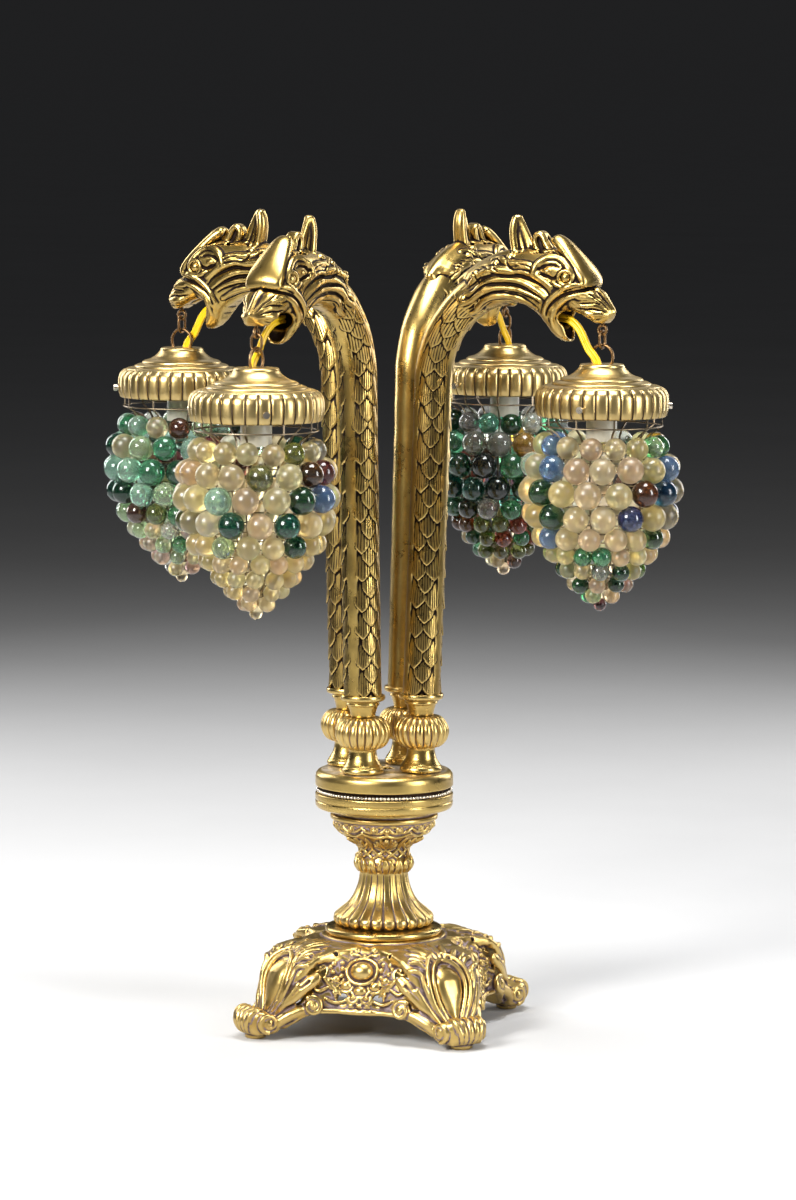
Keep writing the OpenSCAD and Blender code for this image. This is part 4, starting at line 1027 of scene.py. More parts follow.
    # smooth band from the corner volute to the toe
    bd = [(30.2, 23.6, 0.4), (26.4, 21.6, 0.4), (21.8, 17.6, 0.6), (17.6, 12.6, -0.4)]
    B = [leg_pt(*b) for b in bd] + [np.array([104.0, 15.4, 8.8]), np.array([109.5, 14.6, 7.2])]
    Bs = spline(np.array(B), 1.8)
    ch(Bs, np.interp(np.linspace(0, 1, len(Bs)), [0, 0.5, 1], [3.8, 4.1, 3.2]), 1.6)
    gv = spline(np.array([leg_pt(31.5, 29.0, 1.6), leg_pt(25.0, 27.0, 1.8), leg_pt(19.4, 21.2, 1.8), leg_pt(15.2, 16.6, 1.2), np.array([107.0, 15.6, 13.6])]), 1.8)
    ch(gv, 0.95, 0.5, cut=True)
    # toe: side volutes, fan ribs over the front, a crease over the block
    yv = lambda x: np.interp(x, [95, 103, 108, 112, 116, 119, 124], [22.6, 18.9, 18.2, 17.6, 16.2, 14.6, 9.6])
    c2 = curl(110.6, 13.4, 7.4, 1.7, -84, 1.6, 34)
    P = np.column_stack([c2[:, 0], yv(c2[:, 0]) + np.linspace(0.1, 1.5, len(c2)), c2[:, 1]])
    Fd.ball((110.8, 16.6, 13.4), (7.0, 2.6, 7.0), 0.8)
    ch(P, np.linspace(2.0, 1.25, len(P)), 0.5)
    Fd.ball((110.8, 19.0, 13.3), 2.3, 0.4)
    for k, a in enumerate((0, 25, 50)):
        a = math.radians(a)
        for cut in (False, True):
            if cut:
                a = a + math.radians(12.5)
            arc = []
            for e in np.linspace(-44, 96, 15):
                e = math.radians(e)
                ww = math.sin(a) * (7.0 + 5.6 * np.clip((math.degrees(e) + 44) / 110.0, 0, 1))
                arc.append([114.4 + 10.8 * math.cos(e) * math.cos(a * 0.55), ww * 1.2, 12.8 + 10.4 * math.sin(e)])
            arc = np.array(arc)
            if cut:
                ch(arc + (arc - [112.0, 0, 12.8]) * 0.10, 0.8, 0.35, cut=True)
            else:
                ch(arc, np.interp(np.arange(15), [0, 4, 9, 14], [1.5, 2.4, 2.3, 1.0]), 0.5)
    # acanthus plume over the shoulder
    for k, (v0, z0, v1, z1, v2, z2, r) in enumerate((
            (0, 62.6, 0, 66, 0, 70.6, 2.5), (3.0, 62.4, 4.6, 66, 7.0, 70.2, 2.2), (7.0, 61.8, 10.0, 65, 14.2, 68.4, 2.2),
            (11.6, 60.4, 15.6, 63.2, 20.6, 65.4, 2.1), (16.0, 56.0, 20.4, 59.4, 26.0, 60.6, 2.0),
            (1.6, 61.6, 2.3, 63.6, 3.4, 67.6, 1.7), (5.2, 61.2, 7.2, 63.8, 10.4, 67.0, 1.7), (9.6, 60.2, 12.6, 62.4, 17.2, 64.6, 1.7),
            (19.6, 51.0, 24.0, 54.6, 29.4, 55.6, 1.9), (14.0, 58.0, 18.0, 60.6, 23.4, 62.8, 1.7))):
        q = spline(L([(v0, z0, -0.4), (v1, z1, 1.2), (v2, z2, 0.9)]), 1.6)
        ch(q, np.interp(np.linspace(0, 1, len(q)), [0, 0.4, 0.85, 1], [1.3, r, r * 0.95, r * 0.6]), 0.7)
        q2 = q + np.array([0.3, 0, 2.3])
        ch(q2[1:-1], 0.55, 0.3, cut=True)
    # side panel: boss, bezel, petals, scrolls
    s0 = s_of_z(51.4)
    nb = pan_pt(0, s0, 1.0) - pan_pt(0, s0, 0.0)
    et = np.array([c45, -c45, 0.0])
    up = np.cross(nb, et)
    up = up if up[2] > 0 else -up
    Fd.ball(pan_pt(0, s0, 0.2), (6.2, 8.8, 7.2), 0.6, axes=[nb, et, up])
    a = np.linspace(0, 2 * math.pi, 34)
    ring = lambda r, w0=0.0, s_=s0, lf=0.8: np.array([pan_pt(w0 + 1.16 * r * math.cos(t), s_ + r * math.sin(t), lf) for t in a])
    ch(ring(10.0), 1.5, 0.5)
    ch(ring(8.5, lf=1.2), 0.75, 0.3, cut=True)
    # petals under the boss
    for w, ds, rw, rs in ((0, -15.0, 5.0, 3.8), (11.2, -11.6, 4.2, 3.6), (18.4, -6.4, 3.4, 3.0), (5.0, -20.4, 2.4, 2.0)):
        p = pan_pt(w, s0 + ds, 0.2)
        n1 = pan_pt(w, s0 + ds, 1.2) - p
        e1 = np.cross([0, 0, 1.0], n1)
        e1 /= np.linalg.norm(e1)
        u1 = np.cross(n1, e1)
        Fd.ball(p, (3.2, rw, rs), 0.5, axes=[n1, e1, u1])
        tt = np.linspace(math.pi * 1.08, math.pi * 1.92, 9)
        ch(np.array([pan_pt(w + (rw + 1.3) * math.cos(t), s0 + ds + (rs + 1.3) * math.sin(t), 0.6) for t in tt]), 1.0, 0.4)
    # beaded string either side of the boss and ovals above
    for w, s_, r in ((14.8, s0 + 1.5, 2.0), (15.4, s0 + 6.4, 1.7), (15.2, s0 - 4.0, 1.8), (0, s0 + 12.6, 2.0), (20.2, s0 - 0.6, 1.9), (21.6, s0 + 3.6, 1.6)):
        Fd.ball(pan_pt(w, s_, 0.6), r, 0.5)
    # S scrolls above: stem from beside the boss, up and curling outwards
    sc = [(2.4, s0 + 11.6), (5.0, s0 + 13.6), (9.0, s0 + 13.4)]
    q = spline(Q(sc, 0.9), 1.4)
    ch(q, np.linspace(0.9, 1.5, len(q)), 0.5)
    c2 = curl(8.0, s0 + 17.6, 4.4, 1.0, -70, 1.3)
    ch(np.array([pan_pt(w, s_, 0.9) for w, s_ in c2]), np.linspace(1.5, 0.9, len(c2)), 0.5)
    Fd.ball(pan_pt(8.0, s0 + 17.4, 0.8), 1.6, 0.4)
    q = spline(Q([(12.4, s0 + 8.6), (16.4, s0 + 10.8), (19.4, s0 + 9.0), (20.0, s0 + 6.2)], 0.8), 1.4)
    ch(q, np.linspace(1.3, 1.7, len(q)), 0.5)
    q = spline(Q([(12.8, s0 + 18.8), (16.0, s0 + 15.6), (21.0, s0 + 14.6), (24.4, s0 + 12.0)], 0.8), 1.4)
    ch(q, np.linspace(0.9, 1.9, len(q)), 0.5)
    q = spline(Q([(23.4, s0 + 17.0), (26.4, s0 + 13.4), (27.6, s0 + 8.6)], 0.6), 1.4)
    ch(q, np.linspace(1.0, 1.7, len(q)), 0.5)
    # leafy branch under the slot hole
    q = spline(Q([(24.4, s0 - 5.0), (22.2, s0 - 9.6), (19.0, s0 - 14.4), (18.2, s0 - 20.0)], 0.6), 1.4)
    ch(q, np.linspace(1.5, 1.1, len(q)), 0.5)
    for k in range(4):
        w_, s_ = 24.0 - 1.6 * k, s0 - 6.0 - 3.6 * k
        q = spline(Q([(w_, s_), (w_ - 3.0, s_ - 0.4), (w_ - 4.6, s_ - 2.6)], 0.7), 1.2)
        ch(q, np.linspace(1.4, 0.7, len(q)), 0.4)
    for pts, r in (([(24.6, s0 + 2.0), (29.4, s0 - 0.6), (33.0, s0 + 3.0)], 1.5), ([(22.6, s0 - 12.6), (27.6, s0 - 15.4), (31.0, s0 - 12.4)], 1.5),
                   ([(8.0, 12.8), (12.6, 9.4), (18.6, 8.4), (23.6, 11.2)], 1.4), ([(21.0, s0 + 7.6), (24.6, s0 + 6.2), (27.0, s0 + 2.8)], 1.3), ([(28.0, s0 + 5.0), (27.0, s0 + 11.0), (22.6, s0 + 17.4)], 1.9),
                   ([(31.5, s0 + 4.0), (31.5, s0 + 10.0), (28.6, s0 + 17.0)], 2.0), ([(15.0, s0 + 20.4), (18.6, s0 + 19.4), (23.4, s0 + 20.4)], 1.5),
                   ([(35.0, s0 + 2.6), (36.0, s0 + 8.6), (34.6, s0 + 15.6)], 1.9)):
        q = spline(Q(pts, 0.7), 1.3)
        ch(q, np.interp(np.linspace(0, 1, len(q)), [0, 0.5, 1], [r * 0.6, r, r * 0.7]), 0.4)
    # lattice at the foot of the panel and the arch's moulded edge
    for w0 in (0.0, 6.2):
        for d in (1, -1):
            q = Q([(w0 - 3.1 * d, 3.6), (w0 + 3.1 * d, 9.6)], 0.5)
            ch(q, 0.95, 0.3)
    Fd.ball(pan_pt(0, 6.6, 1.0), 1.7, 0.4)
    q = np.array([pan_pt(w, 1.8, 0.2) for w in np.linspace(0, 27, 22)])
    ch(q, 1.9, 1.0)
    q = np.array([pan_pt(w, 4.4, 0.9) for w in np.linspace(0, 25, 22)])
    ch(q, 0.6, 0.3, cut=True)
    # corner volute: spiral with a ball in its eye
    c = pan_pt(30.8, s_of_z(26.0), 2.2)
    n1 = pan_pt(30.8, s_of_z(26.0), 1.0) - pan_pt(30.8, s_of_z(26.0), 0.0)
    n1 = n1 / np.linalg.norm(n1)
    e1 = np.cross([0, 0, 1.0], n1)
    e1 = -e1 / np.linalg.norm(e1)
    u1 = np.cross(n1, e1)
    u1 = u1 if u1[2] > 0 else -u1
    c2 = curl(0, 0, 7.2, 1.7, 60, 1.6, 34)
    P = np.array([c + e1 * a_ + u1 * b_ + n1 * (0.3 + 1.8 * k / 33) for k, (a_, b_) in enumerate(c2)])
    Fd.ball(c - n1 * 1.4, (3.4, 6.8, 6.8), 0.6, axes=[n1, e1, u1])
    ch(P, np.linspace(2.2, 1.3, len(P)), 0.5)
    Fd.ball(c + n1 * 1.8, 2.5, 0.4)
    D = Fd.D
    full = np.concatenate([D[:, ::-1], D], 1)
    full = np.concatenate([full] * 4, 1)
    V, F = surface_nets(full, wrap=True)
    dphi = (math.pi / 4) / n_half
    r = Fd.ax[0][0] + V[:, 0] * h
    phi = -math.pi / 4 + (V[:, 1] + 0.5) * dphi + math.radians(turn)
    P = np.stack([r * np.cos(phi), r * np.sin(phi), Fd.ax[2][0] + V[:, 2] * h], 1)
    P[:, 2] = np.maximum(P[:, 2], 0.05)
    P = smooth_pts(P, edges_of(F), 1, 0.3)
    N = vertex_normals(P, F)
    g = (np.sin(P[:, 0] * 0.31 + 1.3 * np.sin(P[:, 1] * 0.23)) * np.sin(P[:, 1] * 0.37 + P[:, 2] * 0.29)
         + 0.6 * np.sin(P[:, 0] * 0.9 + P[:, 2] * 1.1) * np.sin(P[:, 1] * 1.03 - P[:, 2] * 0.7))
    P = P + N * (0.045 * g)[:, None]
    return P, F


# ------------------------------------------------------------------ stem, bowl, knops, caps
def trumpet_mesh(flutes=24):
    prof = rounded([[33.5, 77.2], [35.9, 76.6], [37.9, 79.0], [38.5, 81.4], [37.6, 84.2], [33.4, 87.8], [28.2, 91.8], [24.1, 96.8], [21.1, 102.8],
                    [19.1, 109], [18.3, 115.0], [18.2, 117.9]], 2.5, 0.7, 5)
    inner = np.array([[14.4, 117.9], [14.8, 108], [17.6, 99], [23.0, 90.2], [29, 84.0], [33.5, 77.2]])
    closed = np.vstack([prof, fine(inner, 3.0)])

    def ripple(R, Z, A):
        t = np.abs(((A * flutes / (2 * math.pi)) % 1.0) * 2 - 1)
        outer = np.arange(R.shape[0])[:, None] < len(prof)
        size = R * math.pi / flutes
        tongue = 1 - np.sqrt(np.clip(1 - (0.93 * t) ** 2, 0, 1))
        low = np.clip((88 - Z) / 8, 0, 1)
        groove = np.clip((t - 0.74) / 0.2, 0, 1) ** 1.6
        lip = np.exp(-((t - 0.66) / 0.12) ** 2) * 0.22
        d = (0.5 + 0.2 * low) * size * tongue * (0.35 + 0.65 * low) + (0.95 + 0.35 * low) * groove - lip * (1 - low)
        fade = np.clip((117.9 - Z) / 4.0, 0, 1) * 0.9 + 0.1
        end = np.clip((79.6 - Z) / 3.0, 0, 1)
        return np.where(outer, R - d * fade - 1.2 * end * t * t, R), Z + np.where(outer, end * 1.2 * t * t, 0)
    return lathe(np.vstack([closed, closed[:1]]), flutes * 14, ripple)


def bowl_mesh(h=0.5, n_half=44, copies=6, start=4.0):
    Fd = Field((4.6, 0, 117.0), (42.6, math.pi / copies, 166.4), h, polar=True, n_phi=n_half)
    RR, ZZ = np.broadcast_arrays(Fd.ax[0][:, None], Fd.ax[2][None, :])
    outer = [[5.3, 118.1], [16.6, 118.1], [19.0, 119.4], [19.9, 122], [19.5, 126], [18.0, 129.2], [17.6, 132],
             [18.6, 136.2], [21.6, 140.8], [26.8, 144.2], [32.6, 147.8], [36.6, 152], [38.0, 156], [38.2, 157.2],
             [40.6, 158.0], [40.9, 159.4], [40.6, 160.9], [38.4, 161.8], [38.4, 165.4], [5.3, 165.4]]
    body = poly_sdf(RR, ZZ, outer)
    inner = poly_sdf(RR, ZZ, [[0, 122], [9, 122], [13, 138], [30, 152], [33, 158], [33, 160], [0, 160]])
    Fd.D = np.repeat(np.maximum(body, -inner)[:, None, :], n_half, 1).astype(np.float32)
    P0 = np.array(outer[1:-1], float)
    rs = lambda z: np.interp(z, P0[:, 1], P0[:, 0])
    half = math.pi / copies

    def pt(a, z, lift=0.0):
        r = rs(z)
        dr = rs(z + 0.5) - rs(z - 0.5)
        n = np.array([1.0, -dr])
        n /= np.linalg.norm(n)
        r, zz = r + n[0] * lift, z + n[1] * lift
        return np.array([r * math.cos(a), r * math.sin(a), zz])
    ch = Fd.chain
    q = lambda pts: spline(np.array([pt(a * half, z, l) for a, z, l in pts]), 1.0)
    lin = lambda Q, tab: np.interp(np.linspace(0, 1, len(Q)), np.linspace(0, 1, len(tab)), tab)
    # curled leaf of the collar, at angle 0
    a = q([(0, 119.6, 0.2), (0, 122.6, 1.4), (0, 125.4, 2.2), (0, 127.6, 1.8), (0, 126.2, 3.6)])
    ch(a, lin(a, [2.6, 3.0, 2.4, 1.6]), 0.8)
    a = q([(0.34, 119.4, 0.2), (0.42, 122.8, 1.0), (0.38, 125.6, 1.6), (0.28, 127.2, 1.6)])
    ch(a, lin(a, [2.0, 2.4, 1.6, 1.0]), 0.7)
    a = q([(0.8, 119.2, 0.2), (0.86, 122.6, 0.9), (0.94, 126.2, 1.2), (1.0, 128.6, 0.6)])
    ch(a, lin(a, [2.2, 2.3, 1.7, 1.0]), 0.7)
    a = q([(0.2, 119.6, 1.8), (0.24, 123, 2.8), (0.22, 126, 2.8)])
    ch(a, 0.55, 0.3, cut=True)
    a = q([(0.62, 119.0, 1.2), (0.66, 122.6, 2.0), (0.68, 126.4, 1.8)])
    ch(a, 0.6, 0.3, cut=True)
    # crossing stems in the neck and the fan of leaves that grows from them
    a = q([(0.0, 128.6, 0.3), (0.5, 132.2, 0.9), (1.0, 136.6, 0.6)])
    ch(a, lin(a, [1.0, 1.3, 0.9]), 0.5)
    a = q([(1.0, 128.6, 0.3), (0.5, 132.2, 0.9), (0.0, 136.6, 0.6)])
    ch(a, lin(a, [1.0, 1.3, 0.9]), 0.5)
    for k, (a1, z1, r) in enumerate(((0.0, 146.6, 2.4), (0.26, 145.4, 1.9), (0.5, 143.4, 1.7), (0.72, 141.2, 1.5))):
        a = q([(0.0 + 0.16 * a1, 134.6, 0.0), (a1 * 0.7, (134.6 + z1) / 2, 0.9), (a1, z1, 0.6 if k else 2.4)])
        ch(a, lin(a, [0.8, r * 0.75, r, r * 0.7]), 0.5)
        a = q([(0.16 * a1 + 0.02, 136.0, 0.9), (a1 * 0.7 + 0.02, (136 + z1) / 2, 1.9 + 0.3 * (k == 0)), (a1 + 0.01, z1 - 1.4, 2.2)])
        ch(a, 0.4, 0.2, cut=True)
    a = q([(1.0, 137.0, 0.2), (1.0, 141.0, 1.1), (1.0, 146.6, 0.8)])
    ch(a, lin(a, [0.9, 1.9, 1.5, 0.9]), 0.5)
    # swags under the rim with berries and small pierced dots
    a = q([(0.0, 149.2, 0.6), (0.3, 148.0, 0.7), (0.65, 148.4, 0.7), (1.0, 151.0, 0.6)])
    ch(a, lin(a, [1.5, 1.2, 1.2, 1.5]), 0.5)
    a = q([(0.08, 154.6, 0.5), (0.22, 152.0, 0.7), (0.4, 150.9, 0.6)])
    ch(a, lin(a, [0.8, 1.3, 0.9]), 0.4)
    a = q([(0.98, 154.8, 0.4), (0.8, 152.6, 0.8), (0.62, 151.2, 0.6)])
    ch(a, lin(a, [1.0, 1.4, 0.8]), 0.4)
    for a_, z_ in ((0.5, 153.3), (0.0, 152.8)):
        Fd.ball(pt(a_ * half, z_, 0.3), 1.7, 0.4)
        t = np.linspace(0, 2 * math.pi, 15)
        ch(np.array([pt(a_ * half + 2.5 / 37 * math.cos(x), z_ + 2.3 * math.sin(x), 0.4) for x in t]), 0.6, 0.25)
    for a_, z_ in ((0.29, 154.4), (0.72, 155.0)):
        Fd.ball(pt(a_ * half, z_, 0.3), 0.95, 0.3, cut=True)
    full = np.concatenate([Fd.D[:, ::-1], Fd.D], 1)
    full = np.concatenate([full] * copies, 1)
    V, F = surface_nets(full, wrap=True)
    dphi = half / n_half
    r = Fd.ax[0][0] + V[:, 0] * h
    phi = -half + (V[:, 1] + 0.5) * dphi + math.radians(start)
    P = np.stack([r * np.cos(phi), r * np.sin(phi), Fd.ax[2][0] + V[:, 2] * h], 1)
    P = smooth_pts(P, edges_of(F), 1, 0.3)
    return P, F


def knop_mesh(lobes=20):
    prof = rounded([[9.6, 214.7], [13.6, 214.7], [16.6, 216.2], [19.4, 219.6], [20.9, 224], [21.2, 226.6], [20.9, 229.4], [19.2, 233.6],
                    [16.2, 237.0], [13.2, 238.4], [9.4, 238.4]], 3, 0.6, 4)
    inner = fine([[9.4, 238.4], [8.6, 236], [8.6, 217], [9.6, 214.7]], 4.0)[1:]
    P = np.vstack([prof, inner])

    def ripple(R, Z, A):
        t = np.abs(((A * lobes / (2 * math.pi)) % 1.0) * 2 - 1)
        size = R * math.pi / lobes
        on = np.clip((R - 11.5) / 3.0, 0, 1)
        d = 0.8 * size * (1 - np.sqrt(np.clip(1 - (0.96 * t) ** 2, 0, 1))) + 0.9 * np.clip((t - 0.82) / 0.18, 0, 1)
        return R - on * d, Z
    return lathe(P, lobes * 14, ripple)


def outer_rows(R, m):
    return np.arange(R.shape[0])[:, None] < m


def gallery_mesh(gadroons=32, seed=5):
    """Collar of convex gadroons under the cap, on its own axis."""
    prof = rounded([[43.2, 490.7], [43.2, 492.2], [44.8, 491.5], [47.4, 489.4], [48.9, 486.0], [49.2, 480.5], [48.8, 474.5], [47.6, 470.9],
                    [46.6, 470.1], [45.7, 470.3]], 2.2, 0.55, 4)
    inner = fine([[45.7, 470.3], [45.4, 485.6], [43, 488.8], [41.5, 489.3], [41.5, 490.6], [43.2, 490.7]], 1.8)[1:]
    P = np.vstack([prof, inner])
    m = len(prof)
    wob = np.random.default_rng(seed).uniform(-0.07, 0.07, gadroons)

    def ripple(R, Z, A):
        k = A * gadroons / (2 * math.pi)
        t = np.abs((k % 1.0) * 2 - 1)
        top = np.clip((491.9 - Z) / 1.6, 0, 1)
        low = np.clip((Z - 469.9) / 2.6, 0, 1)
        w = 0.93 * (0.72 + 0.28 * np.sqrt(np.clip(1 - (1 - np.minimum(top, low)) ** 2, 0, 1)))
        d = 1.4 * (1 - np.sqrt(np.clip(1 - np.minimum(t / w, 1) ** 2.6, 0, 1))) + 0.5 * (t > w)
        d = (d + wob[k.astype(int) % gadroons]) * np.clip((492.0 - Z) / 1.2, 0, 1) * np.clip((Z - 470.0) / 0.8, 0, 1)
        return np.where(outer_rows(R, m), R - np.clip(d, 0, 1.9), R), Z
    return lathe(P, gadroons * 12, ripple)


def dent(seed, amount=0.06):
    """Slight waviness of hand-finished turned work."""
    rng = np.random.default_rng(seed)
    p = rng.uniform(0, 6.28, 6)

    def f(R, Z, A):
        return R + amount * np.minimum(R / 20, 1) * (np.sin(2 * A + p[0] + Z * 0.07) + 0.6 * np.sin(3 * A + p[1] - Z * 0.11) + 0.35 * np.sin(7 * A + p[2] + Z * 0.3)), Z
    return f


def cap_mesh(seed=1):
    outer = rounded([[0.01, 508.4], [15.4, 508.4], [16.5, 507.4], [16.5, 506.4], [17.9, 504.4], [20.5, 501.9], [24, 499.8], [28.4, 498.6],
                     [30.3, 497.5], [30.3, 496.4], [34.4, 495.4], [36.1, 494.5], [36.1, 493.3], [41.6, 492.8], [42.9, 492.2], [42.9, 490.7]], 0.55, 0.8, 3)
    inner = fine([[42.9, 490.7], [34, 491.6], [28.6, 494.4], [23, 497.6], [19, 500.5], [0.01, 500.5]], 3.0)[1:]
    return lathe(np.vstack([outer, inner]), 144, dent(seed, 0.07))


def closed_lathe(outline, n, seed, r=0.6, step=0.9, amount=0.05):
    P = rounded(outline + [outline[0]], r, step, 3)
    return lathe(np.vstack([P, P[:1]]) if not np.allclose(P[0], P[-1]) else P, n, dent(seed, amount))


def base_ring_mesh():
    return closed_lathe([[30.2, 73.4], [30.2, 76.0], [38.4, 76.0], [40.2, 75.6], [42.4, 75.3], [43.9, 74.2], [44.4, 72.4], [43.9, 70.6], [42.2, 69.3],
                         [30.2, 69.2]], 160, 3, 0.7)


def drum_body_mesh():
    return closed_lathe([[40, 165.6], [47.6, 165.6], [49.4, 165.7], [51.2, 166.7], [52.1, 168.6], [52.2, 171.4], [51.7, 171.9], [51.7, 172.9], [52.2, 173.4],
                         [52.2, 177.2], [51.6, 177.7], [47.7, 177.8], [47.5, 187.8], [44.2, 187.8], [44.2, 170.6], [40, 170.6]], 180, 4, 0.5)


def drum_cover_mesh():
    return closed_lathe([[6.4, 195.5], [43, 195.5], [47.6, 195.3], [50.0, 194.2], [51.7, 192.2], [52.2, 189.6], [52.2, 183.4], [51.6, 182.8], [48.2, 182.8],
                         [48.2, 187.9], [44.2, 188.1], [44.2, 191.8], [6.4, 191.8]], 180, 5, 0.9)


def foot_mesh(seed):
    return closed_lathe([[6.4, 195.8], [13.6, 195.8], [15.6, 196.2], [16.1, 198.0], [15.5, 199.8], [14.6, 200.6], [14.9, 201.0], [13.3, 203], [11.6, 206],
                         [10.6, 210], [10.3, 213.0], [10.9, 213.6], [10.9, 214.5], [6.4, 214.5]], 72, seed, 0.7, 0.7, 0.04)


def cup_mesh(seed):
    return closed_lathe([[4.2, 238.6], [9.2, 238.6], [9.7, 242], [10.8, 245.6], [11.3, 247.2], [12.0, 247.3], [12.6, 248.4], [12.0, 249.5], [12.2, 250.0],
                         [14.6, 250.7], [16.5, 251.7], [16.7, 253.5], [16.3, 255.2], [14.4, 255.2], [14.3, 251.6], [4.2, 250.0]], 72, seed, 0.5, 0.7, 0.04)


# ------------------------------------------------------------------ glass beads
BEAD_ROWS = [(42.5, 449, 8.7, 15), (49.5, 433.5, 10, 15), (51.5, 416, 10.4, 15), (49, 398.5, 10, 15), (43, 382.5, 8.8, 15),
             (35.5, 369.5, 7.3, 15), (27, 358, 6.9, 12), (18.5, 347.5, 6.5, 8), (9.5, 338.5, 6.1, 4), (0, 331.6, 5.2, 1)]
GLASS = {
    "cream": ((0.99, 0.84, 0.50), 1), "peach": ((0.99, 0.76, 0.50), 1), "straw": ((0.97, 0.86, 0.42), 1), "milk": ((0.97, 0.91, 0.70), 1),
    "blue": ((0.16, 0.30, 0.62), 0), "sky": ((0.42, 0.62, 0.76), 0), "navy": ((0.03, 0.05, 0.18), 0), "bottle": ((0.015, 0.09, 0.05), 0),
    "green": ((0.08, 0.34, 0.16), 0), "sea": ((0.16, 0.46, 0.34), 0), "aqua": ((0.46, 0.72, 0.58), 0), "pale": ((0.56, 0.72, 0.44), 0),
    "olive": ((0.22, 0.24, 0.06), 0), "black": ((0.03, 0.025, 0.02), 0), "brown": ((0.14, 0.04, 0.025), 0), "amber": ((0.72, 0.42, 0.06), 0),
    "clear": ((0.80, 0.82, 0.74), 0), "smoke": ((0.36, 0.36, 0.33), 0), "ruby": ((0.40, 0.06, 0.04), 0), "rose": ((0.76, 0.50, 0.50), 1)}
MIXES = {
    4: [(0, 3, dict(cream=50, peach=10, milk=6, bottle=9, navy=5, black=5, brown=4, aqua=4, green=4, blue=2, pale=3, olive=3)),
        (4, 5, dict(cream=64, peach=18, bottle=4, sky=2, pale=3, milk=5)), (6, 9, dict(cream=66, peach=26, milk=6))],
    1: [(0, 1, dict(cream=46, straw=14, peach=10, blue=9, clear=6, amber=4, pale=5, green=4)),
        (2, 4, dict(cream=44, straw=12, peach=16, bottle=10, navy=6, blue=3, brown=4, milk=6)),
        (5, 9, dict(cream=36, peach=14, straw=14, bottle=10, green=7, brown=5, sky=4, olive=6, smoke=5))],
    3: [(0, 1, dict(aqua=26, green=16, clear=12, bottle=10, brown=8, navy=8, cream=8, sky=6, pale=8)),
        (2, 4, dict(aqua=12, green=18, bottle=18, clear=12, brown=10, amber=7, pale=10, sky=6, olive=7)),
        (5, 9, dict(clear=14, pale=22, cream=30, olive=8, green=8, milk=10, rose=10))],
    2: [(0, 1, dict(bottle=22, green=24, sea=18, smoke=14, clear=10, amber=8)),
        (2, 4, dict(bottle=26, black=18, brown=16, green=14, olive=10, smoke=8, sea=6)),
        (5, 9, dict(ruby=20, olive=18, bottle=14, brown=10, clear=12, peach=10, cream=12, green=8))]}


def bead_mesh(arm, lon=22, lat=14):
    """All the beads of one shade on its own axis: points, faces, colour of each point, and 1 for each face of frosted glass."""
    rng = np.random.default_rng(40 + arm)
    th = np.linspace(0, math.pi, lat + 1)[1:-1]
    ph = 2 * math.pi * np.arange(lon) / lon
    ring = np.stack([np.outer(np.sin(th), np.cos(ph)), np.outer(np.sin(th), np.sin(ph)), np.repeat(np.cos(th)[:, None], lon, 1)], 2).reshape(-1, 3)
    unit = np.vstack([ring, [0, 0, 0.93], [0, 0, -0.93]])
    n = len(unit)
    i, j = np.arange(lat - 2)[:, None], np.arange(lon)[None, :]
    body = np.stack([i * lon + j, (i + 1) * lon + j, (i + 1) * lon + (j + 1) % lon, i * lon + (j + 1) % lon], 2).reshape(-1, 4)
    j = np.arange(lon)
    cap0 = np.stack([j, (j + 1) % lon, np.full(lon, n - 2), np.full(lon, n - 2)], 1)
    cap1 = np.stack([(lat - 2) * lon + (j + 1) % lon, (lat - 2) * lon + j, np.full(lon, n - 1), np.full(lon, n - 1)], 1)
    cap0 = cap0[:, [0, 1, 2, 2]]
    faces = np.vstack([body, cap0, cap1])
    V, F, C, K = [], [], [], []
    count = 0
    last = None
    for row, (R, z, r, num) in enumerate(BEAD_ROWS):
        mix = next(m for lo, hi, m in MIXES[arm] if lo <= row <= hi)
        names, wts = list(mix), np.array(list(mix.values()), float)
        for b in range(num):
            a = 2 * math.pi / num * (b + (row % 2) / 2) if row < 9 else 0.0
            name = names[rng.choice(len(names), p=wts / wts.sum())]
            col, frost = GLASS[name]
            col = np.clip(np.array(col) * rng.uniform(0.86, 1.1) + rng.uniform(-0.02, 0.02, 3), 0.008, 0.97)
            q = unit * (r * rng.uniform(0.955, 1.0) * rng.uniform(0.975, 1.0, 3))
            e = rng.uniform(-0.5, 0.5, 3)
            cx, sx, cy, sy = math.cos(e[0]), math.sin(e[0]), math.cos(e[1]), math.sin(e[1])
            q = q @ np.array([[1, 0, 0], [0, cx, -sx], [0, sx, cx]]) @ np.array([[cy, 0, sy], [0, 1, 0], [-sy, 0, cy]])
            a = a + (rng.uniform(-0.9, 0.9) / R if R > 5 else 0.0)
            R_ = R + (rng.uniform(-0.7, 0.3) if R > 5 else 0.0)
            c = np.array([R_ * math.cos(a), R_ * math.sin(a), z + (rng.uniform(-0.7, 0.7) if R > 5 else 0.0)])
            V.append(q + c)
            F.append(faces + count)
            C.append(np.repeat(col[None], n, 0))
            K.append(np.full(len(faces), frost))
            count += n
    return np.vstack(V), np.vstack(F), np.vstack(C), np.concatenate(K)


# ------------------------------------------------------------------ flat twin flex
FLEX_PATH = [(145, 0, 541.5), (151, -0.5, 541), (157, -1.3, 539.5), (162.5, -2.2, 536), (167, -3, 531), (170.5, -3.6, 525), (174, -4, 519),
             (178, -4.2, 514.5), (181, -4.2, 510), (182, -4.2, 504), (182, -4.2, 495)]


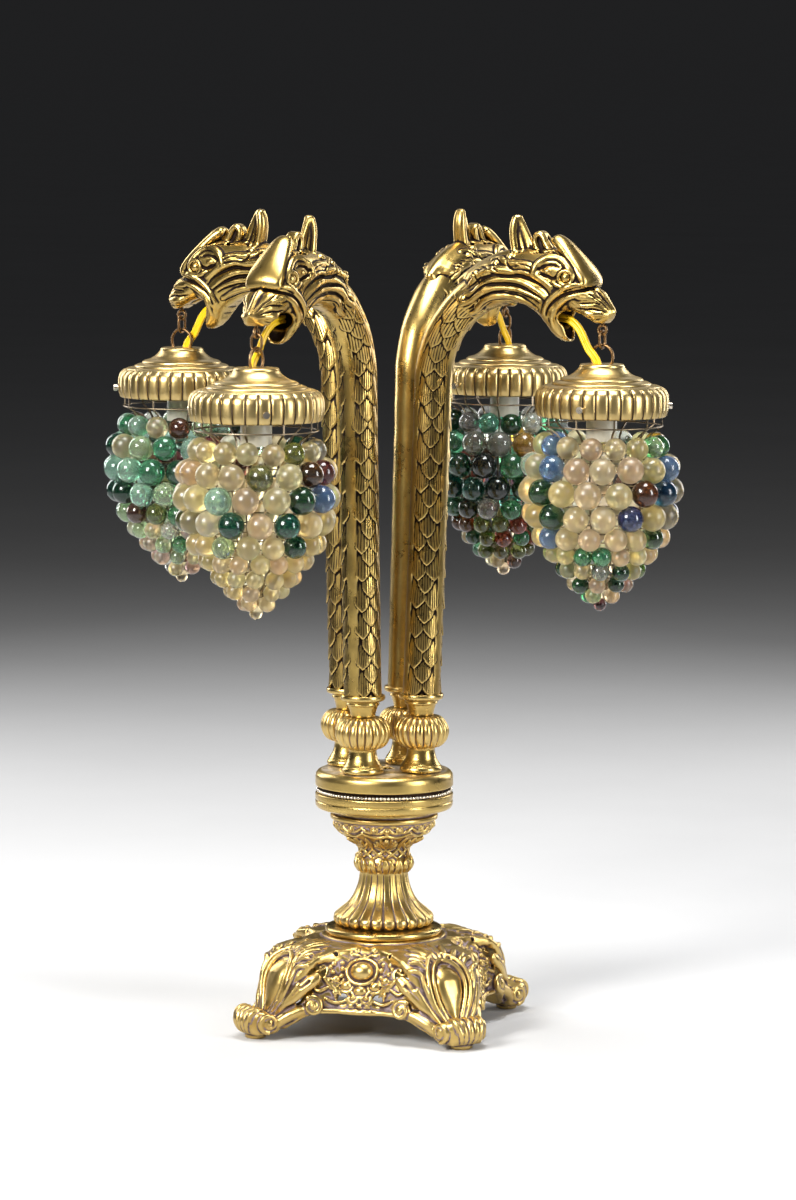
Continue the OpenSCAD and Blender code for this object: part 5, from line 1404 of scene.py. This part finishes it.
def flex_mesh(part):
    """Upper (0) or lower (1) half of the flex in the arm frame: two round cores side by side with a groove between them."""
    C = spline(FLEX_PATH, 0.6)
    cut = int(np.argmin(np.abs(C[:, 2] - 524.0)))
    C = C[:cut + 1] if part == 0 else C[cut:]
    T = np.gradient(C, axis=0)
    T /= np.linalg.norm(T, axis=1)[:, None]
    W = np.cross(T, [0, 1.0, 0])
    W /= np.linalg.norm(W, axis=1)[:, None]
    H = np.cross(W, T)
    f1 = np.radians(np.linspace(-150, 150, 13))
    s1 = np.stack([1.62 + 1.56 * np.cos(f1), 1.56 * np.sin(f1)], 1)
    s2 = -s1
    sec = np.vstack([s1, s2])
    n = len(sec)
    V = C[:, None] + sec[None, :, :1] * W[:, None] + sec[None, :, 1:] * H[:, None]
    m = len(C)
    i, j = np.arange(m - 1)[:, None], np.arange(n)[None, :]
    F = np.stack([i * n + j, i * n + (j + 1) % n, (i + 1) * n + (j + 1) % n, (i + 1) * n + j], 2).reshape(-1, 4)
    V = np.vstack([V.reshape(-1, 3), C[:1], C[-1:]])
    j = np.arange(n)
    F = np.vstack([F, np.stack([(j + 1) % n, j, np.full(n, m * n), np.full(n, m * n)], 1),
                   np.stack([(m - 1) * n + j, (m - 1) * n + (j + 1) % n, np.full(n, m * n + 1), np.full(n, m * n + 1)], 1)])
    return V, F


# ------------------------------------------------------------------ pieces
HANG = 183.0
ARMS = (1, 2, 3, 4)


def turned(V, i):
    """Points from arm 1's frame to arm i's."""
    c, s = ((1, 0), (0, 1), (-1, 0), (0, -1))[i - 1]
    V = np.asarray(V, float)
    return np.stack([V[:, 0] * c - V[:, 1] * s, V[:, 0] * s + V[:, 1] * c, V[:, 2]], 1)


def piece(name, V, F, mats, body, nodes=(), cav=None, colour=None, kind=None, smooth=True):
    """A mesh given in millimetres. Faces with their last corner doubled are triangles."""
    V = np.asarray(V, float) * MM
    F = outward(V, np.asarray(F))
    tri = F[:, 2] == F[:, 3]
    order = np.concatenate([F[~tri].ravel(), F[tri][:, :3].ravel()]).astype(np.int32)
    nq, nt = int((~tri).sum()), int(tri.sum())
    me = bpy.data.meshes.new(name)
    me.vertices.add(len(V))
    me.vertices.foreach_set("co", V.astype(np.float32).ravel())
    me.loops.add(len(order))
    me.loops.foreach_set("vertex_index", order)
    me.polygons.add(nq + nt)
    me.polygons.foreach_set("loop_start", np.concatenate([np.arange(nq) * 4, nq * 4 + np.arange(nt) * 3]).astype(np.int32))
    me.update(calc_edges=True)
    me.polygons.foreach_set("use_smooth", np.full(nq + nt, smooth))
    if kind is not None:
        me.polygons.foreach_set("material_index", np.concatenate([kind[~tri], kind[tri]]).astype(np.int32))
    if cav is not None:
        a = me.attributes.new("cavity", "FLOAT", "POINT")
        a.data.foreach_set("value", np.asarray(cav, np.float32))
    if colour is not None:
        a = me.attributes.new("tint", "FLOAT_COLOR", "POINT")
        a.data.foreach_set("color", np.column_stack([colour, np.ones(len(colour))]).astype(np.float32).ravel())
    me.validate()
    o = bpy.data.objects.new(name, me)
    bpy.context.collection.objects.link(o)
    for m in (mats if isinstance(mats, (list, tuple)) else [mats]):
        me.materials.append(m)
    if body:
        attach(o, body)
    if nodes:
        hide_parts(*nodes)
    return o


def fours(V, F, cav):
    """The same turned piece on each arm's foot."""
    n = len(V)
    W = np.asarray(V, float) + [32.0, 0, 0]
    return (np.vstack([turned(W, i) for i in ARMS]), np.vstack([F + n * k for k in range(4)]), np.tile(cav, 4))


def outward(V, F):
    """Faces turned so that the closed mesh's normals point out."""
    a, b, c, d = (np.asarray(V, float)[F[:, k]] for k in range(4))
    vol = (a * np.cross(b, c)).sum() + (a * np.cross(c, d)).sum()
    return F if vol > 0 else np.ascontiguousarray(F[:, [1, 0, 3, 2]] if not (F[:, 2] == F[:, 3]).any() else flipped(F))


def flipped(F):
    tri = (F[:, 2] == F[:, 3])[:, None]
    return np.where(tri, F[:, [1, 0, 2, 2]], F[:, ::-1])


def caved(V, F, **kw):
    return cavity(V, outward(V, F), **kw)


V, F = base_mesh()
piece("base", V, F, M_BASE, "stand", ("base_casting",), caved(V, F, steps=(5, 24), gain=(2.5, 1.2)))
V, F = base_ring_mesh()
piece("ring_under_stem", V, F, M_SPUN, "stand", ("base_ring",), caved(V, F))
V, F = trumpet_mesh()
piece("trumpet", V, F, M_BASE, "stand", ("trumpet_stem",), caved(V, F, gain=(2.4, 1.1)))
V, F = bowl_mesh()
piece("bowl", V, F, M_BASE, "stand", ("stem_bowl",), caved(V, F, steps=(5, 24), gain=(2.2, 1.0)))
# Painted shade: the drum's upper flange, seen in the gap between drum and lid, gets cavity 0.92 so it turns dark like a
# deep hollow.
V, F = drum_body_mesh()
piece("drum", V, F, M_SPUN, "stand", ("drum_body",), np.where(V[:, 2] > 178.2, 0.92, caved(V, F)))
# Painted shade: the underside and inner face of the lid's skirt get cavity 0.92 so they turn dark like a deep hollow.
V, F = drum_cover_mesh()
piece("drum_lid", V, F, M_LID, "stand", ("drum_cover",), np.where((V[:, 2] < 188.5) & (np.hypot(V[:, 0], V[:, 1]) < 51.4), 0.92, caved(V, F)))
V, F = foot_mesh(21)
V, F, c = fours(V, F, caved(V, F))
piece("feet", V, F, M_SPUN, "stand", ("arm_feet",), c)
V, F = knop_mesh()
V, F, c = fours(V, F, caved(V, F, gain=(2.8, 1.3)))
piece("knops", V, F, M_BASE, "stand", ("arm_knops",), c)
V, F = cup_mesh(23)
V, F, c = fours(V, F, caved(V, F))
piece("cups", V, F, M_SPUN, "stand", ("arm_cups",), c)

AV, AF, _ = arm_mesh()
AC = caved(AV, AF, steps=(5, 22), gain=(5.4, 3.0))
HV, HF = head_mesh(0.6)
HC = caved(HV, HF, steps=(5, 20), gain=(5.4, 2.6))
GV, GF = gallery_mesh()
GC = caved(GV, GF)
for i in ARMS:
    piece("arm_tube_%d" % i, turned(AV, i), AF, M_CAST, "stand", ("arm_%d" % i,), AC)
    piece("dragon_%d" % i, turned(HV, i), HF, M_CAST, "stand", ("head_%d" % i,), HC)
    shade = "shade_%d" % i
    at = lambda P: turned(np.asarray(P, float) + [HANG, 0, 0], i)
    V, F = cap_mesh(30 + i)
    piece("cap_dome_%d" % i, at(V), F, M_CAP, shade, ("cap_%d" % i,), caved(V, F))
    piece("gadroons_%d" % i, at(GV), GF, M_CAP, shade, ("gallery_%d" % i,), GC)
    V, F, C, K = bead_mesh(i)
    piece("glass_%d" % i, at(V), F, [M_CLEAR, M_FROST], shade, ("beads_%d" % i,), None, C, K)
    for part, (a, b, p, q) in enumerate((("stand", "link_%d_body" % i, (157, -1.3, 539.5), (170, -3.6, 526)),
                                         ("link_%d_body" % i, shade, (171, -3.7, 523.6), (181.6, -4.2, 507.5)))):
        V, F = flex_mesh(part)
        o = piece("twin_flex_%d_%s" % (i, "ab"[part]), turned(V, i), F, M_YELLOW, None, ("flex_%d" % i,) if part == 0 else ())
        p, q = (turned(np.array([w], float), i)[0] * MM for w in (p, q))
        tuple(q)
        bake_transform(o)

# ------------------------------------------------------------------ stage and light
me = bpy.data.meshes.new("floor")
me.from_pydata([(-150, -150, -0.0002), (150, -150, -0.0002), (150, 150, -0.0002), (-150, 150, -0.0002)], [], [(0, 1, 2, 3)])
floor = bpy.data.objects.new("floor", me)
bpy.context.collection.objects.link(floor)
m_floor, nt, b = new_mat("floor")
nt.links.new(ramp(nt, noise(nt, 2.0), [(0.3, (0.54, 0.54, 0.545)), (0.7, (0.57, 0.57, 0.575))]), b.inputs["Base Color"])
b.inputs["Roughness"].default_value = 0.9
b.inputs["Specular IOR Level"].default_value = 0.0
me.materials.append(m_floor)

world = bpy.data.worlds.new("world")
SCENE.world = world
world.use_nodes = True
wt = world.node_tree
bg = wt.nodes["Background"]
tc = wt.nodes.new("ShaderNodeTexCoord")
sx = wt.nodes.new("ShaderNodeSeparateXYZ")
wt.links.new(tc.outputs["Generated"], sx.inputs[0])
wt.links.new(ramp(wt, sx.outputs["Z"], [(0.0, (0.0184, 0.0186, 0.0195)), (0.5, (0.030, 0.030, 0.031)), (1.0, (0.040, 0.041, 0.043))]), bg.inputs[0])
bg.inputs[1].default_value = 1.0


def area(name, loc, target, size, power, colour=(1, 1, 1), spread=180):
    li = bpy.data.lights.new(name, "AREA")
    li.shape = "RECTANGLE"
    li.size, li.size_y = size
    li.energy = power
    li.color = colour
    li.spread = math.radians(spread)
    o = bpy.data.objects.new(name, li)
    bpy.context.collection.objects.link(o)
    o.location = loc
    o.rotation_euler = (Vector(target) - Vector(loc)).to_track_quat("-Z", "Y").to_euler()
    return o


area("key", cam_frame(-1.4, -1.6, 1.5), (0, 0, 0.35), (0.8, 0.9), 46, (1.0, 0.985, 0.95), 115)
area("fill", cam_frame(1.9, -1.2, 0.9), (0, 0, 0.35), (0.5, 1.4), 19, (0.98, 0.99, 1.0), 115)
area("top", cam_frame(0.1, -0.2, 2.1), (0, 0, 0.3), (0.9, 0.9), 22, (1, 1, 1), 105)
area("rim_l", cam_frame(-1.3, 1.3, 1.0), (0, 0, 0.4), (0.4, 1.4), 22)
area("rim_r", cam_frame(1.3, 1.4, 0.9), (0, 0, 0.4), (0.4, 1.4), 19)
area("back_floor", cam_frame(0.0, 1.6, 1.3), cam_frame(0, 0.9, 0.0), (2.4, 0.6), 5)
SCENE.view_settings.view_transform = "Standard"
SCENE.view_settings.look = "None"
SCENE.view_settings.exposure = -0.4
